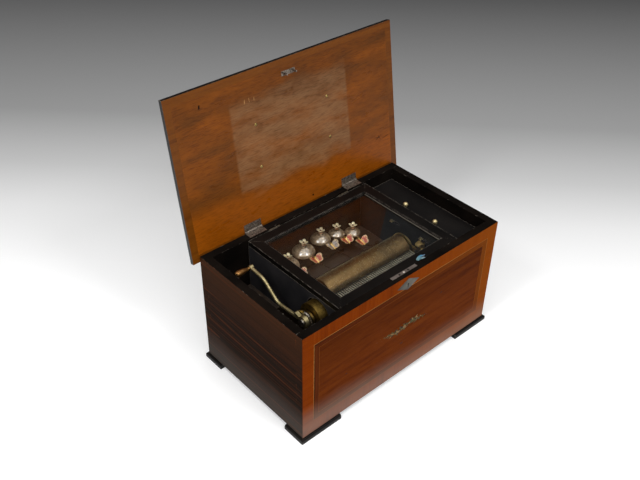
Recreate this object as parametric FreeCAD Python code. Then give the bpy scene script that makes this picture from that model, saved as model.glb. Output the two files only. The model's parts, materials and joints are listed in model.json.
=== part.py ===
import FreeCAD
import Part
import math
import os

# A lever-wound cylinder music box with bells, lid open, in millimetres.
# X runs to the right, Y to the back and Z up, and the box stands on Z = 0.

# Case
case_w = 500.0
case_d = 287.0
case_h = 244.0
wall_t = 16.5
bottom_t = 12.0
foot_h = 10.4
foot_out = 5.0
foot_len = 95.0
foot_wid = 50.0
foot_round = 4.0

# Boards inside the case
board_drop = 108.4
board_t = 10.0
bearer = 12.0
side_room = 98.0
partition_t = 9.0
deck_drop = 27.0
deck_t = 8.0
cleat = 8.0

# Lid, built closed and then swung open
lid_t = 16.0
lid_over = 15.0
lid_edge = 8.5
lid_step = 2.0
lid_top_band = 6.0
lid_top_step = 1.0
lid_open = 98.6
lid_seat = 0.2
lid_hinge_out = 2.2
lid_hinge_x = 125.0
lid_hinge_len = 40.0
lid_leaf_w = 14.5
lid_leaf_t = 1.5
lid_knuckle_r = 3.0
lid_pin_r = 1.5
tack_x = 86.0
tack_near = 118.0
tack_far = 202.0
tack_r = 3.0
tack_dome = 1.2
tack_half_r = 0.6
tack_half_dome = 0.8
tack_pin_r = 0.8
tack_depth = 7.0

# Inner glazed lid
inner_drop = 3.0
inner_t = 11.0
inner_bar = 23.0
inner_gap = 0.6
inner_seat = 0.1
inner_bevel = 1.5
glass_t = 2.5
glass_lap = 5.0
glass_down = 5.0
glass_gap = 0.2
inner_hinge_x = 90.0
inner_hinge_len = 26.0
inner_leaf_h = 9.0
inner_leaf_t = 0.9
inner_knuckle_r = 2.0
inner_pin_r = 1.0
ribbon_x = 54.0
ribbon_w = 27.0
ribbon_t = 0.8
ribbon_lap = 14.0
ribbon_rise = 2.6

# Lock, with its link plate on the lid and its escutcheon on the front
lock_w = 64.0
lock_d = 7.0
lock_h = 32.0
lock_wall = 1.5
link_w = 32.0
link_d = 9.0
link_t = 1.2
loop_x = 11.0
loop_w = 2.4
loop_d = 3.0
loop_drop = 11.0
loop_eye = 5.5
loop_bar = 1.6
loop_side = 0.5
loop_room = 0.8
bolt_t = 1.2
bolt_run = 0.15
bolt_bar_h = 5.0
bolt_finger_w = 6.0
escutcheon_w = 56.0
escutcheon_h = 26.0
escutcheon_t = 1.0
escutcheon_proud = 0.3
key_z_drop = 19.4
key_r = 2.2
key_slot_w = 2.0
key_slot_h = 7.0

# Clearances
run = 0.05
knuckle_gap = 0.3
side_gap = 0.3
cut_over = 1.0
same = 1e-6

# Bedplate
bed_t = 6.0
bed_wall = 45.0
bed_gap = 1.0
bed_front = 112.0
bed_back = 32.0
bed_screw_in = 8.0

# Screws
screw_r = 1.6
screw_head_r = 3.6
screw_head_h = 2.2
screw_slot = 0.8
screw_depth = 8.0

# Cylinder on its arbor
cyl_y = -31.0
cyl_drop = 54.4
cyl_r = 26.8
cyl_wall = 1.5
cyl_cap_t = 3.0
cyl_mid = -3.0
movement_room = 294.0
arbor_r = 4.0
bearing_gap = 6.0
right_bearing_gap = 5.0
bearing_t = 6.0
bearing_r = 14.0
bearing_foot_w = 8.0
bearing_foot_t = 5.0
arbor_end = 2.0

# Gear teeth
addendum = 0.8
dedendum = 1.1
backlash = 0.16
pressure = math.radians(20.0)

# Spring barrel and its train
barrel_module = 1.0
barrel_teeth = 64
pinion_teeth = 18
barrel_rise = 7.6
barrel_wheel_t = 4.0
barrel_wheel_gap = 6.0
barrel_r = 27.5
barrel_len = 41.0
barrel_wall = 2.0
barrel_end_t = 3.0
barrel_room = 3.0
barrel_bracket_gap = 2.0
barrel_bracket_t = 4.0
pinion_extra = 2.0
wind_arbor_r = 5.0
spring_t = 0.8
spring_pitch = 2.6
spring_turns = 5
spring_margin = 1.0

# Winding lever, ratchet, pawl and holding click
ratchet_teeth = 20
ratchet_r = 15.0
ratchet_depth = 2.0
ratchet_t = 3.0
ratchet_gap = 2.0
ratchet_face = math.radians(65.0)
lever_gap = 1.0
lever_hub_t = 7.4
lever_hub_r = 11.0
lever_r = 3.6
lever_low = 5.0
lever_reach_low = 72.0
lever_reach_high = 112.0
lever_reach_end = 149.0
lever_rise_high = 26.0
lever_rise_end = 30.0
lever_bend = 30.0
lever_eye = 1.0
grip_len = 33.0
grip_r = 6.5
grip_neck_r = 3.0
grip_neck = 4.0
knob_r = 7.5
knob_len = 4.0
pawl_back = math.radians(50.0)
pawl_pivot_r = 21.0
pawl_hub_r = 3.2
pawl_pin_r = 1.6
pawl_clear = 0.4
pawl_tip_clear = 0.6
pawl_tail = 0.8
click_pivot_y = -8.0
click_pivot_z = -24.0
click_angle = math.radians(-75.0)
click_w = 4.0

# Comb
comb_pitch = 5.0
comb_in = 3.0
comb_slit = 2.2
comb_gap = 1.2
comb_reach = 33.0
comb_back = 14.0
comb_t = 3.4
comb_tip_t = 1.0
comb_under = 1.2
comb_lift = 11.0
weight_back = 13.0
weight_len = 9.0
weight_most = 7.0
weight_least = 0.6
comb_screws = 6
base_foot_w = 28.0
base_foot_t = 6.0
base_web_t = 10.0
base_pad_t = 9.0
base_end = 5.0
base_foot_out = 3.0
base_pad_in = 1.0
base_web_in = 2.0

# Governor
wheel_module = 0.8
wheel_teeth = 70
wheel_t = 3.0
wheel_gap = 4.0
gov_pinion_teeth = 12
gov_offset = -4.8
gov_arbor_r = 2.0
gov_pinion_extra = 1.0
worm_teeth = 28
worm_wheel_t = 1.5
worm_r = 3.0
worm_turns = 5
worm_x_gap = 11.0
fly_r = 1.2
fan_w = 14.0
fan_h = 12.0
fan_t = 0.7
fan_rise = 13.0
cheek_t = 5.0
cheek_gap = 8.0
gov_base_t = 3.0
gov_front = 12.0
gov_behind = 22.0
gov_drop = 52.4
cock_t = 3.0
cock_w = 14.0
cock_reach = 5.5
pivot_depth = 2.0

# Bells, from the left: X, distance from the back wall, rim radius and how far the crown sits below the
# highest one, then the angle in degrees at which the striker meets the bell and how far in front of it
# the butterfly sits
bells = [
    (-90.0, 40.0, 24.0, 4.5, -79.0, 7.5),
    (-41.5, 31.0, 23.5, 0.0, -80.0, 7.5),
    (9.5, 23.5, 21.2, 0.0, -76.0, 7.5),
    (47.5, 29.5, 16.8, 4.5, -78.0, 9.0),
    (78.0, 45.0, 16.6, 7.5, -98.0, 13.0),
]
bell_drop = 52.4
bell_rise = 0.68
bell_shoulder = 0.42
bell_t = 1.3
bell_boss_r = 5.0
bell_boss_h = 1.2
post_r = 2.2
post_collar_r = 4.0
post_collar_h = 6.0
nut_r = 3.0
nut_h = 6.0
nut_socket = 4.0
nut_ear_r = 4.2
nut_ear_x = 4.6
nut_ear_rise = 7.4
nut_ear_t = 1.8
rail_drop = 90.4
rail_t = 4.0
rail_margin = 10.0
leg_x = 55.0
leg_w = 12.0

# Bell strikers
striker_y = 18.0
striker_drop = 66.4
striker_rod_r = 1.5
striker_hub_r = 3.0
striker_hub_w = 5.0
striker_arm_r = 1.0
striker_tail_gap = 1.2
striker_tail_w = 2.0
striker_tail_h = 3.0
striker_gap = 0.8
striker_head_r = 2.2
striker_head_h = 5.0
striker_head_rise = -0.9
wing_t = 0.7
wing_fore = (8.2, 5.6)
wing_hind = (6.2, 4.6)
wing_fore_turn = 25.0
wing_hind_turn = -20.0
wing_out = 0.9
wing_along = 0.6
wing_tilt = 24.0
wing_dip = 15.0
wing_body_r = 1.3
wing_body_len = 17.0
striker_post = 8.0
striker_post_gap = 4.0
striker_post_top = 4.0

# Control levers under the deck
control_wall = 71.0
control_front = -46.0
control_back = 34.0
control_arm = 11.0
control_swing = 30.0
control_bar_t = 3.0
control_bar_w = 6.0
control_inner = 30.0
control_hub_r = 5.0
control_hang = 8.4
control_room = 1.5
stud_r = 2.5
stud_head_r = 4.5
stud_head_h = 2.0
stem_r = 2.0
stem_room = 0.7
ball_r = 5.5
ball_rise = 6.5

V = FreeCAD.Vector

# Levels and faces that many pieces share
rim_z = foot_h + case_h
half_w = case_w / 2
half_d = case_d / 2
in_x = half_w - wall_t
partition_x = half_w - side_room
in_y = half_d - wall_t
board_z = rim_z - board_drop
bed_z = board_z + bed_t
deck_z = rim_z - deck_drop
deck_under = deck_z - deck_t
inner_z = rim_z - inner_drop
inner_under = inner_z - inner_t
partition_z = inner_under - inner_seat
partition_in = partition_x - partition_t
bed_left = half_w - bed_wall
bed_right = partition_in - bed_gap
lid_y = half_d + lid_hinge_out
lid_z = rim_z + lid_seat / 2
lid_under = rim_z + lid_seat
inner_y = in_y - inner_gap / 2
inner_half_y = in_y - inner_gap
lock_y = -in_y - lock_d
lock_mid = -in_y - lock_d / 2
key_z = rim_z - key_z_drop

# The train, worked out from the cylinder's axis
cyl_z = rim_z - cyl_drop
cyl_len = case_w - movement_room
cyl_left = cyl_mid - cyl_len / 2
cyl_right = cyl_left + cyl_len
left_bearing_x = cyl_left - bearing_gap - bearing_t
wheel_x = cyl_right + wheel_gap
right_bearing_x = wheel_x + wheel_t + right_bearing_gap
barrel_angle = math.pi - math.radians(barrel_rise)
barrel_reach = barrel_module * (barrel_teeth + pinion_teeth) / 2
wind_y = cyl_y + barrel_reach * math.cos(barrel_angle)
wind_z = cyl_z + barrel_reach * math.sin(barrel_angle)
barrel_wheel_x = left_bearing_x - barrel_wheel_gap - barrel_wheel_t
barrel_left = barrel_wheel_x - barrel_len
barrel_bracket_x = barrel_left - barrel_bracket_gap - barrel_bracket_t
ratchet_x = barrel_bracket_x - ratchet_gap - ratchet_t
lever_x = ratchet_x - lever_gap - lever_hub_t
gov_reach = wheel_module * (wheel_teeth + gov_pinion_teeth) / 2
gov_y = cyl_y + gov_offset
gov_z = cyl_z - math.sqrt(gov_reach ** 2 - gov_offset ** 2)
gov_angle = math.atan2(gov_z - cyl_z, gov_y - cyl_y)
fly_x = right_bearing_x + bearing_t + worm_x_gap
fly_y = gov_y - wheel_module * worm_teeth / 2 - worm_r
cheek_x = fly_x + cheek_gap
gov_top = rim_z - gov_drop
worm_pitch = math.pi * wheel_module
comb_z = cyl_z + comb_lift
comb_tip_y = cyl_y - math.sqrt((cyl_r + comb_gap) ** 2 - (comb_lift - comb_tip_t / 2) ** 2)
comb_root_y = comb_tip_y - comb_reach
comb_back_y = comb_root_y - comb_back
comb_teeth = int((cyl_len - 2 * comb_in) / comb_pitch)
comb_start = cyl_left + comb_in
comb_end = comb_start + comb_teeth * comb_pitch
comb_under_z = comb_z - comb_under
bell_z = rim_z - bell_drop
rail_z = rim_z - rail_drop
striker_z = rim_z - striker_drop
pawl_angle = ratchet_face - pawl_back
pawl_y = wind_y + pawl_pivot_r * math.cos(pawl_angle)
pawl_z = wind_z + pawl_pivot_r * math.sin(pawl_angle)
control_z = deck_under - control_hang
control_x = half_w - control_wall
control_pivot_x = control_x - control_arm


def box(x0, x1, y0, y1, z0, z1):
    """A block between two corners."""
    return Part.makeBox(x1 - x0, y1 - y0, z1 - z0, V(x0, y0, z0))


def rod_x(r, x0, x1, y, z):
    """A round bar along X."""
    return Part.makeCylinder(r, x1 - x0, V(x0, y, z), V(1, 0, 0))


def rod_z(r, z0, z1, x, y):
    """A round bar along Z."""
    return Part.makeCylinder(r, z1 - z0, V(x, y, z0), V(0, 0, 1))


def rod(r, start, end):
    """A round bar between two points."""
    return Part.makeCylinder(r, (end - start).Length, start, end - start)


def filled(points):
    """The flat face inside a closed outline."""
    return Part.Face(Part.makePolygon(points + points[:1]))


def plate_x(outline, x0, x1):
    """An outline of (y, z) points with a thickness along X."""
    return filled([V(x0, y, z) for y, z in outline]).extrude(V(x1 - x0, 0, 0))


def plate_y(outline, y0, y1):
    """An outline of (x, z) points with a thickness along Y."""
    return filled([V(x, y0, z) for x, z in outline]).extrude(V(0, y1 - y0, 0))


def plate_z(outline, z0, z1):
    """An outline of (x, y) points with a thickness along Z."""
    return filled([V(x, y, z0) for x, y in outline]).extrude(V(0, 0, z1 - z0))


def turned(edges, x, y, z):
    """A solid turned about a vertical axis from edges drawn as radius and height."""
    solid = Part.Face(Part.Wire(edges)).revolve(V(0, 0, 0), V(0, 0, 1), 360)
    return solid.translated(V(x, y, z))


def line(a, b):
    """A straight edge of a turned profile, between (radius, height) points."""
    return Part.makeLine(V(a[0], 0, a[1]), V(b[0], 0, b[1]))


def arc(a, b, c):
    """A round edge of a turned profile through three (radius, height) points."""
    return Part.Arc(V(a[0], 0, a[1]), V(b[0], 0, b[1]), V(c[0], 0, c[1])).toShape()


def joined(shapes):
    """One solid from pieces that touch or overlap."""
    return shapes[0].multiFuse(shapes[1:]).removeSplitter()


def together(shapes):
    """Separate solids in one node."""
    return Part.makeCompound(shapes)


def polar(y, z, r, angle):
    """A (y, z) point at a radius and angle about an axis along X."""
    return (y + r * math.cos(angle), z + r * math.sin(angle))


def opened(shape):
    """A piece of the closed lid, swung open about the lid hinge."""
    swung = shape.copy()
    swung.rotate(V(0, lid_y, lid_z), V(-1, 0, 0), lid_open)
    return swung


def strip(edges, half_length, offset, width, turn):
    """One mitred side of a frame, whose profile runs inward from the outer line and upward."""
    face = Part.Face(Part.Wire(edges))
    face.translate(V(-half_length, -offset, 0))
    long_bar = face.extrude(V(2 * half_length, 0, 0))
    low, high = long_bar.BoundBox.ZMin - cut_over, long_bar.BoundBox.ZMax + cut_over
    inner = half_length - width
    mitred = [(-half_length, -offset), (half_length, -offset),
              (inner, width - offset), (-inner, width - offset)]
    side = long_bar.common(plate_z(mitred, low, high))
    side.rotate(V(0, 0, 0), V(0, 0, 1), turn)
    return side


def frame(edges, half_x, half_y, width):
    """Four mitred strips round a rectangle."""
    return [
        strip(edges, half_x, half_y, width, 0),
        strip(edges, half_y, half_x, width, 90),
        strip(edges, half_x, half_y, width, 180),
        strip(edges, half_y, half_x, width, 270),
    ]


def outline_edges(points):
    """Straight edges of a strip's profile, from (inward, height) points in order."""
    corners = [V(0, u, z) for u, z in points]
    return [Part.makeLine(a, b) for a, b in zip(corners, corners[1:] + corners[:1])]


def gear(module, teeth, x0, x1, y, z, phase):
    """A spur gear on an axis along X, with one tooth centred on the phase angle."""
    pitch_r = module * teeth / 2
    base_r = pitch_r * math.cos(pressure)
    root_r = pitch_r - dedendum * module
    radii = [root_r, pitch_r, pitch_r + addendum * module]
    if base_r > root_r:
        radii.insert(1, base_r)

    def half_angle(r):
        """Half of a tooth's angle at a radius on its involute."""
        a = math.acos(min(1.0, base_r / r))
        at_pitch = math.pi / (2 * teeth) - backlash / (2 * pitch_r)
        return at_pitch + math.tan(pressure) - pressure - math.tan(a) + a

    outline = []
    for k in range(teeth):
        middle = phase + 2 * math.pi * k / teeth
        outline += [polar(y, z, r, middle - half_angle(r)) for r in radii]
        outline += [polar(y, z, r, middle + half_angle(r)) for r in reversed(radii)]
    return plate_x(outline, x0, x1)


def screw(x, y, seat, head_r, depth):
    """A slotted cheese-head screw, driven down into its seat."""
    head = rod_z(head_r, seat, seat + screw_head_h, x, y)
    slot_z = seat + screw_head_h - screw_slot
    slot = box(x - head_r, x + head_r, y - screw_slot / 2, y + screw_slot / 2, slot_z, seat + screw_head_h)
    return joined([head.cut(slot), rod_z(screw_r, seat - depth, seat, x, y)])


def screw_hole(x, y, seat, depth):
    """The hole that a screw's shank fills."""
    return rod_z(screw_r, seat - depth, seat, x, y)


def hinge(x, length, y, z, r, pin_r, fixed_plate, moving_plate):
    """A butt hinge with two fixed knuckles and their pin, and one moving knuckle between them."""
    a = x - length / 2
    b = x - length / 6
    c = x + length / 6
    d = x + length / 2
    fixed = fixed_plate.cut(rod_x(r + knuckle_gap, b, c, y, z))
    fixed = joined([fixed, rod_x(r, a, b, y, z), rod_x(r, c, d, y, z), rod_x(pin_r, a, d, y, z)])
    moving = moving_plate.cut(rod_x(r + knuckle_gap, a, b + knuckle_gap, y, z))
    moving = moving.cut(rod_x(r + knuckle_gap, c - knuckle_gap, d, y, z))
    moving = joined([moving, rod_x(r, b + knuckle_gap, c - knuckle_gap, y, z)])
    return fixed, moving.cut(rod_x(pin_r + run, a, d, y, z))


def lid_leaf(x, low):
    """The plate of a lid hinge leaf, or the pocket it is let into."""
    back = half_d - lid_leaf_w
    return box(x - lid_hinge_len / 2, x + lid_hinge_len / 2, back, lid_y, low, low + lid_leaf_t)


def lid_hinges():
    """The case leaves and the lid leaves of the two lid hinges, with the lid closed."""
    pairs = []
    for x in (-lid_hinge_x, lid_hinge_x):
        low_leaf = lid_leaf(x, rim_z - lid_leaf_t)
        high_leaf = lid_leaf(x, lid_under)
        pairs.append(hinge(x, lid_hinge_len, lid_y, lid_z, lid_knuckle_r, lid_pin_r, low_leaf, high_leaf))
    return together([p[0] for p in pairs]), together([p[1] for p in pairs])


def lid_knuckle_room(x):
    """The room that a lid hinge's knuckles turn in."""
    reach = lid_hinge_len / 2 + knuckle_gap
    return rod_x(lid_knuckle_r + knuckle_gap, x - reach, x + reach, lid_y, lid_z)


def inner_leaf(x, y0, y1):
    """The plate of an inner lid hinge leaf, or the pocket it is let into."""
    reach = inner_hinge_len / 2
    return box(x - reach, x + reach, y0, y1, inner_z - inner_leaf_h, inner_z)


def inner_hinges():
    """The case leaves and the lid leaves of the two inner lid hinges."""
    pairs = []
    for x in (-inner_hinge_x, inner_hinge_x):
        on_wall = inner_leaf(x, in_y, in_y + inner_leaf_t)
        on_lid = inner_leaf(x, inner_half_y - inner_leaf_t, inner_half_y)
        pairs.append(hinge(x, inner_hinge_len, inner_y, inner_z, inner_knuckle_r, inner_pin_r, on_wall, on_lid))
    return together([p[0] for p in pairs]), together([p[1] for p in pairs])


def inner_knuckle_room(x):
    """The room for an inner hinge's knuckles, open at the top."""
    reach = inner_hinge_len / 2 + knuckle_gap
    r = inner_knuckle_r + knuckle_gap
    round_part = rod_x(r, x - reach, x + reach, inner_y, inner_z)
    return joined([round_part, box(x - reach, x + reach, inner_y - r, inner_y + r, inner_z, rim_z)])


def keyhole(y0, y1):
    """A keyhole through anything between two depths."""
    slot_low = key_z - key_slot_h
    slot = box(-key_slot_w / 2, key_slot_w / 2, y0, y1, slot_low, key_z)
    return joined([Part.makeCylinder(key_r, y1 - y0, V(0, y0, key_z), V(0, 1, 0)), slot])


def lozenge(y0, y1):
    """The diamond outline of the escutcheon."""
    w, h = escutcheon_w / 2, escutcheon_h / 2
    return plate_y([(-w, key_z), (0, key_z - h), (w, key_z), (0, key_z + h)], y0, y1)


def lock_block():
    """The lock's outer block, which is also its pocket in the front wall."""
    return box(-lock_w / 2, lock_w / 2, lock_y, -in_y, rim_z - lock_h, rim_z)


def front_wall():
    wall = box(-half_w, half_w, -half_d, -in_y, foot_h, rim_z)
    wall = wall.cut(lock_block()).cut(keyhole(-half_d, lock_y))
    return wall.cut(lozenge(-half_d, -half_d + escutcheon_t - escutcheon_proud))


def back_wall():
    wall = box(-half_w, half_w, in_y, half_d, foot_h, rim_z)
    for x in (-lid_hinge_x, lid_hinge_x):
        wall = wall.cut(lid_leaf(x, rim_z - lid_leaf_t)).cut(lid_knuckle_room(x))
    for x in (-inner_hinge_x, inner_hinge_x):
        wall = wall.cut(inner_leaf(x, in_y, in_y + inner_leaf_t)).cut(inner_knuckle_room(x))
    return wall


def side_wall(side):
    """The left wall at side -1 and the right one at +1."""
    x0, x1 = sorted((side * in_x, side * half_w))
    return box(x0, x1, -in_y, in_y, foot_h, rim_z)


def bottom_board():
    return box(-in_x, in_x, -in_y, in_y, foot_h, foot_h + bottom_t)


def sound_board():
    board = box(-in_x, in_x, -in_y, in_y, board_z - board_t, board_z)
    for x, y in bed_screw_places():
        board = board.cut(screw_hole(x, y, bed_z, screw_depth + bed_t))
    return board


def cleats():
    """Strips on the walls that carry the sound board and the control deck."""
    low = board_z - board_t
    front = box(-in_x, in_x, -in_y, bearer - in_y, low - bearer, low)
    back = box(-in_x, in_x, in_y - bearer, in_y, low - bearer, low)
    inner = box(partition_x, partition_x + cleat, bearer - in_y, in_y - bearer, deck_under - cleat, deck_under)
    for y in (control_front, control_back):
        inner = inner.cut(control_sweep_box(y, partition_x, partition_x + cleat))
    outer = box(in_x - cleat, in_x, bearer - in_y, in_y - bearer, deck_under - cleat, deck_under)
    return together([front, back, inner, outer])


def partition(side):
    """A partition that carries one edge of the inner lid."""
    x0, x1 = sorted((side * partition_in, side * partition_x))
    return box(x0, x1, -in_y, in_y, board_z, partition_z)


def left_partition():
    """The left partition, notched over the bedplate and round the spring barrel."""
    x0, x1 = -partition_x, -partition_in
    bed_room = box(x0, x1, -bed_front - side_gap, bed_back + side_gap, board_z, bed_z + side_gap)
    r = barrel_r + barrel_room
    barrel_hole = rod_x(r, x0, x1, wind_y, wind_z)
    return partition(-1).cut(bed_room).cut(barrel_hole)


def control_sweep_box(y, x0, x1):
    """The room for a control lever's inner arm as it swings."""
    back_swing = (control_pivot_x - x0) * math.tan(math.radians(control_swing))
    low = control_z - control_bar_t - side_gap
    half = control_bar_w / 2 + control_room
    return box(x0, x1, y - half - back_swing, y + half, low, control_z + side_gap)


def right_partition():
    wall = partition(1)
    for y in (control_front, control_back):
        wall = wall.cut(control_sweep_box(y, partition_in, partition_x))
    return wall


def control_slot(y):
    """The slot in the deck that a control stem swings along."""
    swing = math.radians(control_swing)
    reach = stem_r + stem_room
    x0 = control_x - control_arm * (1 - math.cos(swing)) - reach
    y1 = y + control_arm * math.sin(swing) + reach
    return box(x0, control_x + reach, y - reach, y1, deck_under, deck_z)


def control_deck():
    deck = box(partition_x, in_x, -in_y, in_y, deck_under, deck_z)
    for y in (control_front, control_back):
        deck = deck.cut(control_slot(y)).cut(rod_z(stud_r, deck_under, deck_z, control_pivot_x, y))
    return deck


def foot(x_side, y_side):
    """A flat corner foot with its outer top edges rounded."""
    x0, x1 = sorted((x_side * (half_w + foot_out), x_side * (half_w + foot_out - foot_len)))
    y0, y1 = sorted((y_side * (half_d + foot_out), y_side * (half_d + foot_out - foot_wid)))
    block = box(x0, x1, y0, y1, 0, foot_h)
    far_x = x_side * (half_w + foot_out)
    far_y = y_side * (half_d + foot_out)
    edges = []
    for edge in block.Edges:
        middle = edge.CenterOfMass
        on_outside = abs(middle.x - far_x) < same or abs(middle.y - far_y) < same
        if on_outside and abs(middle.z - foot_h) < same:
            edges.append(edge)
    return block.makeFillet(foot_round, edges)


def feet():
    return together([foot(x, y) for x in (-1, 1) for y in (-1, 1)])


def lock_case():
    """The box lock, hollow where its bolt slides, with slots for the link loops."""
    cavity_low = rim_z - loop_drop - loop_room - bolt_bar_h
    x = lock_w / 2 - lock_wall
    y0, y1 = lock_y + lock_wall, -in_y - lock_wall
    shell = lock_block().cut(box(-x, x, y0, y1, cavity_low - bolt_run, rim_z - lock_wall))
    for mid in (-loop_x, loop_x):
        w = loop_w / 2 + loop_room
        shell = shell.cut(box(mid - w, mid + w, y0, y1, rim_z - lock_wall, rim_z))
    return shell.cut(keyhole(lock_y, lock_y + lock_wall))


def lock_bolt():
    """A sliding bar with two fingers that pass through the link loops."""
    bar_low = rim_z - loop_drop - loop_room - bolt_bar_h
    bar_high = bar_low + bolt_bar_h - bolt_run
    y0, y1 = lock_mid - bolt_t / 2, lock_mid + bolt_t / 2
    eye_mid = rim_z - loop_drop + loop_bar + loop_eye / 2
    tip = loop_w / 2 + loop_room
    start = loop_x + tip + 2 * bolt_finger_w
    pieces = [box(-start, start - 2 * bolt_finger_w, y0, y1, bar_low, bar_high)]
    for mid in (-loop_x, loop_x):
        finger_end = mid - tip
        post = box(finger_end - 2 * bolt_finger_w, finger_end - bolt_finger_w, y0, y1, bar_low, eye_mid)
        finger_low = eye_mid - bolt_t
        finger = box(finger_end - 2 * bolt_finger_w, finger_end, y0, y1, finger_low, eye_mid)
        pieces += [post, finger]
    return joined(pieces)


def escutcheon():
    outer = -half_d - escutcheon_proud
    return lozenge(outer, outer + escutcheon_t).cut(keyhole(outer, outer + escutcheon_t))


def link_pocket():
    """The link plate's outline, let into the closed lid."""
    y0, y1 = lock_mid - link_d / 2, lock_mid + link_d / 2
    return box(-link_w / 2, link_w / 2, y0, y1, lid_under, lid_under + link_t)


def link_plate():
    """The plate under the lid with two loops for the lock's bolt."""
    pieces = [link_pocket()]
    y0, y1 = lock_mid - loop_d / 2, lock_mid + loop_d / 2
    for mid in (-loop_x, loop_x):
        x0, x1 = mid - loop_w / 2, mid + loop_w / 2
        low = rim_z - loop_drop
        loop = box(x0, x1, y0, y1, low, lid_under)
        eye_low = low + loop_bar
        eye = box(x0, x1, y0 + loop_side, y1 - loop_side, eye_low, eye_low + loop_eye)
        pieces.append(loop.cut(eye))
    return joined(pieces)


def tack_places():
    """Where the tune sheet's tacks are, measured from the hinge line."""
    return [(x, lid_y - s) for x in (-tack_x, tack_x) for s in (tack_near, tack_far)]


def tack(x, y):
    """A domed tack, head down, under the closed lid."""
    foot_edge = (tack_r, 0)
    mid = (tack_r * tack_half_r, -tack_dome * tack_half_dome)
    crown = (0, -tack_dome)
    edges = [
        arc(crown, mid, foot_edge),
        line(foot_edge, (tack_pin_r, 0)),
        line((tack_pin_r, 0), (tack_pin_r, tack_depth)),
        line((tack_pin_r, tack_depth), (0, tack_depth)),
        line((0, tack_depth), crown),
    ]
    return turned(edges, x, y, lid_under)


def lid_panel():
    panel = box(-half_w, half_w, -half_d, half_d, lid_under, lid_under + lid_t)
    for x in (-lid_hinge_x, lid_hinge_x):
        panel = panel.cut(lid_leaf(x, lid_under)).cut(lid_knuckle_room(x))
    for x, y in tack_places():
        panel = panel.cut(rod_z(tack_pin_r, lid_under, lid_under + tack_depth, x, y))
    return panel.cut(link_pocket())


def lid_moulding():
    """Four edge mouldings: a square lower edge, a step, a hollow and a top band."""
    low, high = lid_under, lid_under + lid_t
    step_z = low + lid_edge
    band_z = high - lid_top_step
    band_u = lid_over - lid_top_band
    hollow = V(0, (lid_step + 2 * band_u) / 3, (2 * step_z + band_z) / 3)
    edges = outline_edges([(0, low), (0, step_z), (lid_step, step_z), (band_u, band_z), (band_u, high),
                           (lid_over, high), (lid_over, low)])
    edges[2] = Part.Arc(V(0, lid_step, step_z), hollow, V(0, band_u, band_z)).toShape()
    sides = frame(edges, half_w + lid_over, half_d + lid_over, lid_over)
    for x in (-lid_hinge_x, lid_hinge_x):
        sides[2] = sides[2].cut(lid_knuckle_room(x)).cut(lid_leaf(x, lid_under))
    return together(sides)


def inner_frame():
    """Four mitred rails with a rebate underneath for the glass."""
    rebate = inner_bar - glass_lap
    shoulder = inner_under + inner_t - glass_down
    edges = outline_edges([(0, inner_under), (rebate, inner_under), (rebate, shoulder),
                           (inner_bar, shoulder), (inner_bar, inner_z - inner_bevel),
                           (inner_bar - inner_bevel, inner_z), (0, inner_z)])
    rails = frame(edges, partition_x, inner_half_y, inner_bar)
    for x in (-inner_hinge_x, inner_hinge_x):
        pocket = inner_leaf(x, inner_half_y - inner_leaf_t, inner_half_y)
        rails[2] = rails[2].cut(pocket).cut(inner_knuckle_room(x))
    return together(rails)


def glass_pane():
    edge = inner_bar - glass_lap + glass_gap
    x, y = partition_x - edge, inner_half_y - edge
    high = inner_under + inner_t - glass_down
    return box(-x, x, -y, y, high - glass_t, high)


def glazing_beads():
    """Four thin strips that hold the glass up in its rebate."""
    edge = inner_bar - glass_lap
    high = inner_under + inner_t - glass_down - glass_t
    edges = outline_edges([(0, inner_under), (0, high), (glass_lap, high), (glass_lap, inner_under)])
    return together(frame(edges, partition_x - edge, inner_half_y - edge, glass_lap))


def ribbon_pull():
    """A folded ribbon on the front rail, with its end standing up beside the wall."""
    front = glass_gap - inner_half_y
    outline = [(front + ribbon_lap, inner_z), (front, inner_z), (front, inner_z + ribbon_rise),
               (front + ribbon_t, inner_z + ribbon_rise), (front + ribbon_t, inner_z + ribbon_t),
               (front + ribbon_lap, inner_z + ribbon_t)]
    return plate_x(outline, ribbon_x - ribbon_w / 2, ribbon_x + ribbon_w / 2)


def bed_screw_places():
    xs = (-bed_left + bed_screw_in, bed_right - bed_screw_in)
    return [(x, y) for x in xs for y in (bed_screw_in - bed_front, bed_back - bed_screw_in)]


def bedplate():
    plate = box(-bed_left, bed_right, -bed_front, bed_back, board_z, bed_z)
    for x, y in bed_screw_places():
        plate = plate.cut(screw_hole(x, y, bed_z, screw_depth + bed_t))
    return plate


def bearing(x0, thick, ends, bores, foot_side):
    """An upright plate with round ends over its bores, and a foot on the bedplate."""
    pieces = []
    for y, z in ends:
        pieces.append(rod_x(bearing_r, x0, x0 + thick, y, z))
        pieces.append(box(x0, x0 + thick, y - bearing_r, y + bearing_r, bed_z, z))
    y0 = min(y for y, z in ends) - bearing_r
    y1 = max(y for y, z in ends) + bearing_r
    low_top = min(z for y, z in ends)
    pieces.append(box(x0, x0 + thick, y0, y1, bed_z, low_top))
    f0, f1 = (x0 - bearing_foot_w, x0) if foot_side < 0 else (x0 + thick, x0 + thick + bearing_foot_w)
    pieces.append(box(f0, f1, y0, y1, bed_z, bed_z + bearing_foot_t))
    plate = joined(pieces)
    for r, y, z in bores:
        plate = plate.cut(rod_x(r + run, x0, x0 + thick, y, z))
    return plate


def left_bearing():
    ends = [(wind_y, wind_z), (cyl_y, cyl_z)]
    bores = [(wind_arbor_r, wind_y, wind_z), (arbor_r, cyl_y, cyl_z)]
    return bearing(left_bearing_x, bearing_t, ends, bores, -1)


def right_bearing():
    bores = [(arbor_r, cyl_y, cyl_z), (gov_arbor_r, gov_y, gov_z)]
    return bearing(right_bearing_x, bearing_t, [(cyl_y, cyl_z)], bores, 1)


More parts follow.
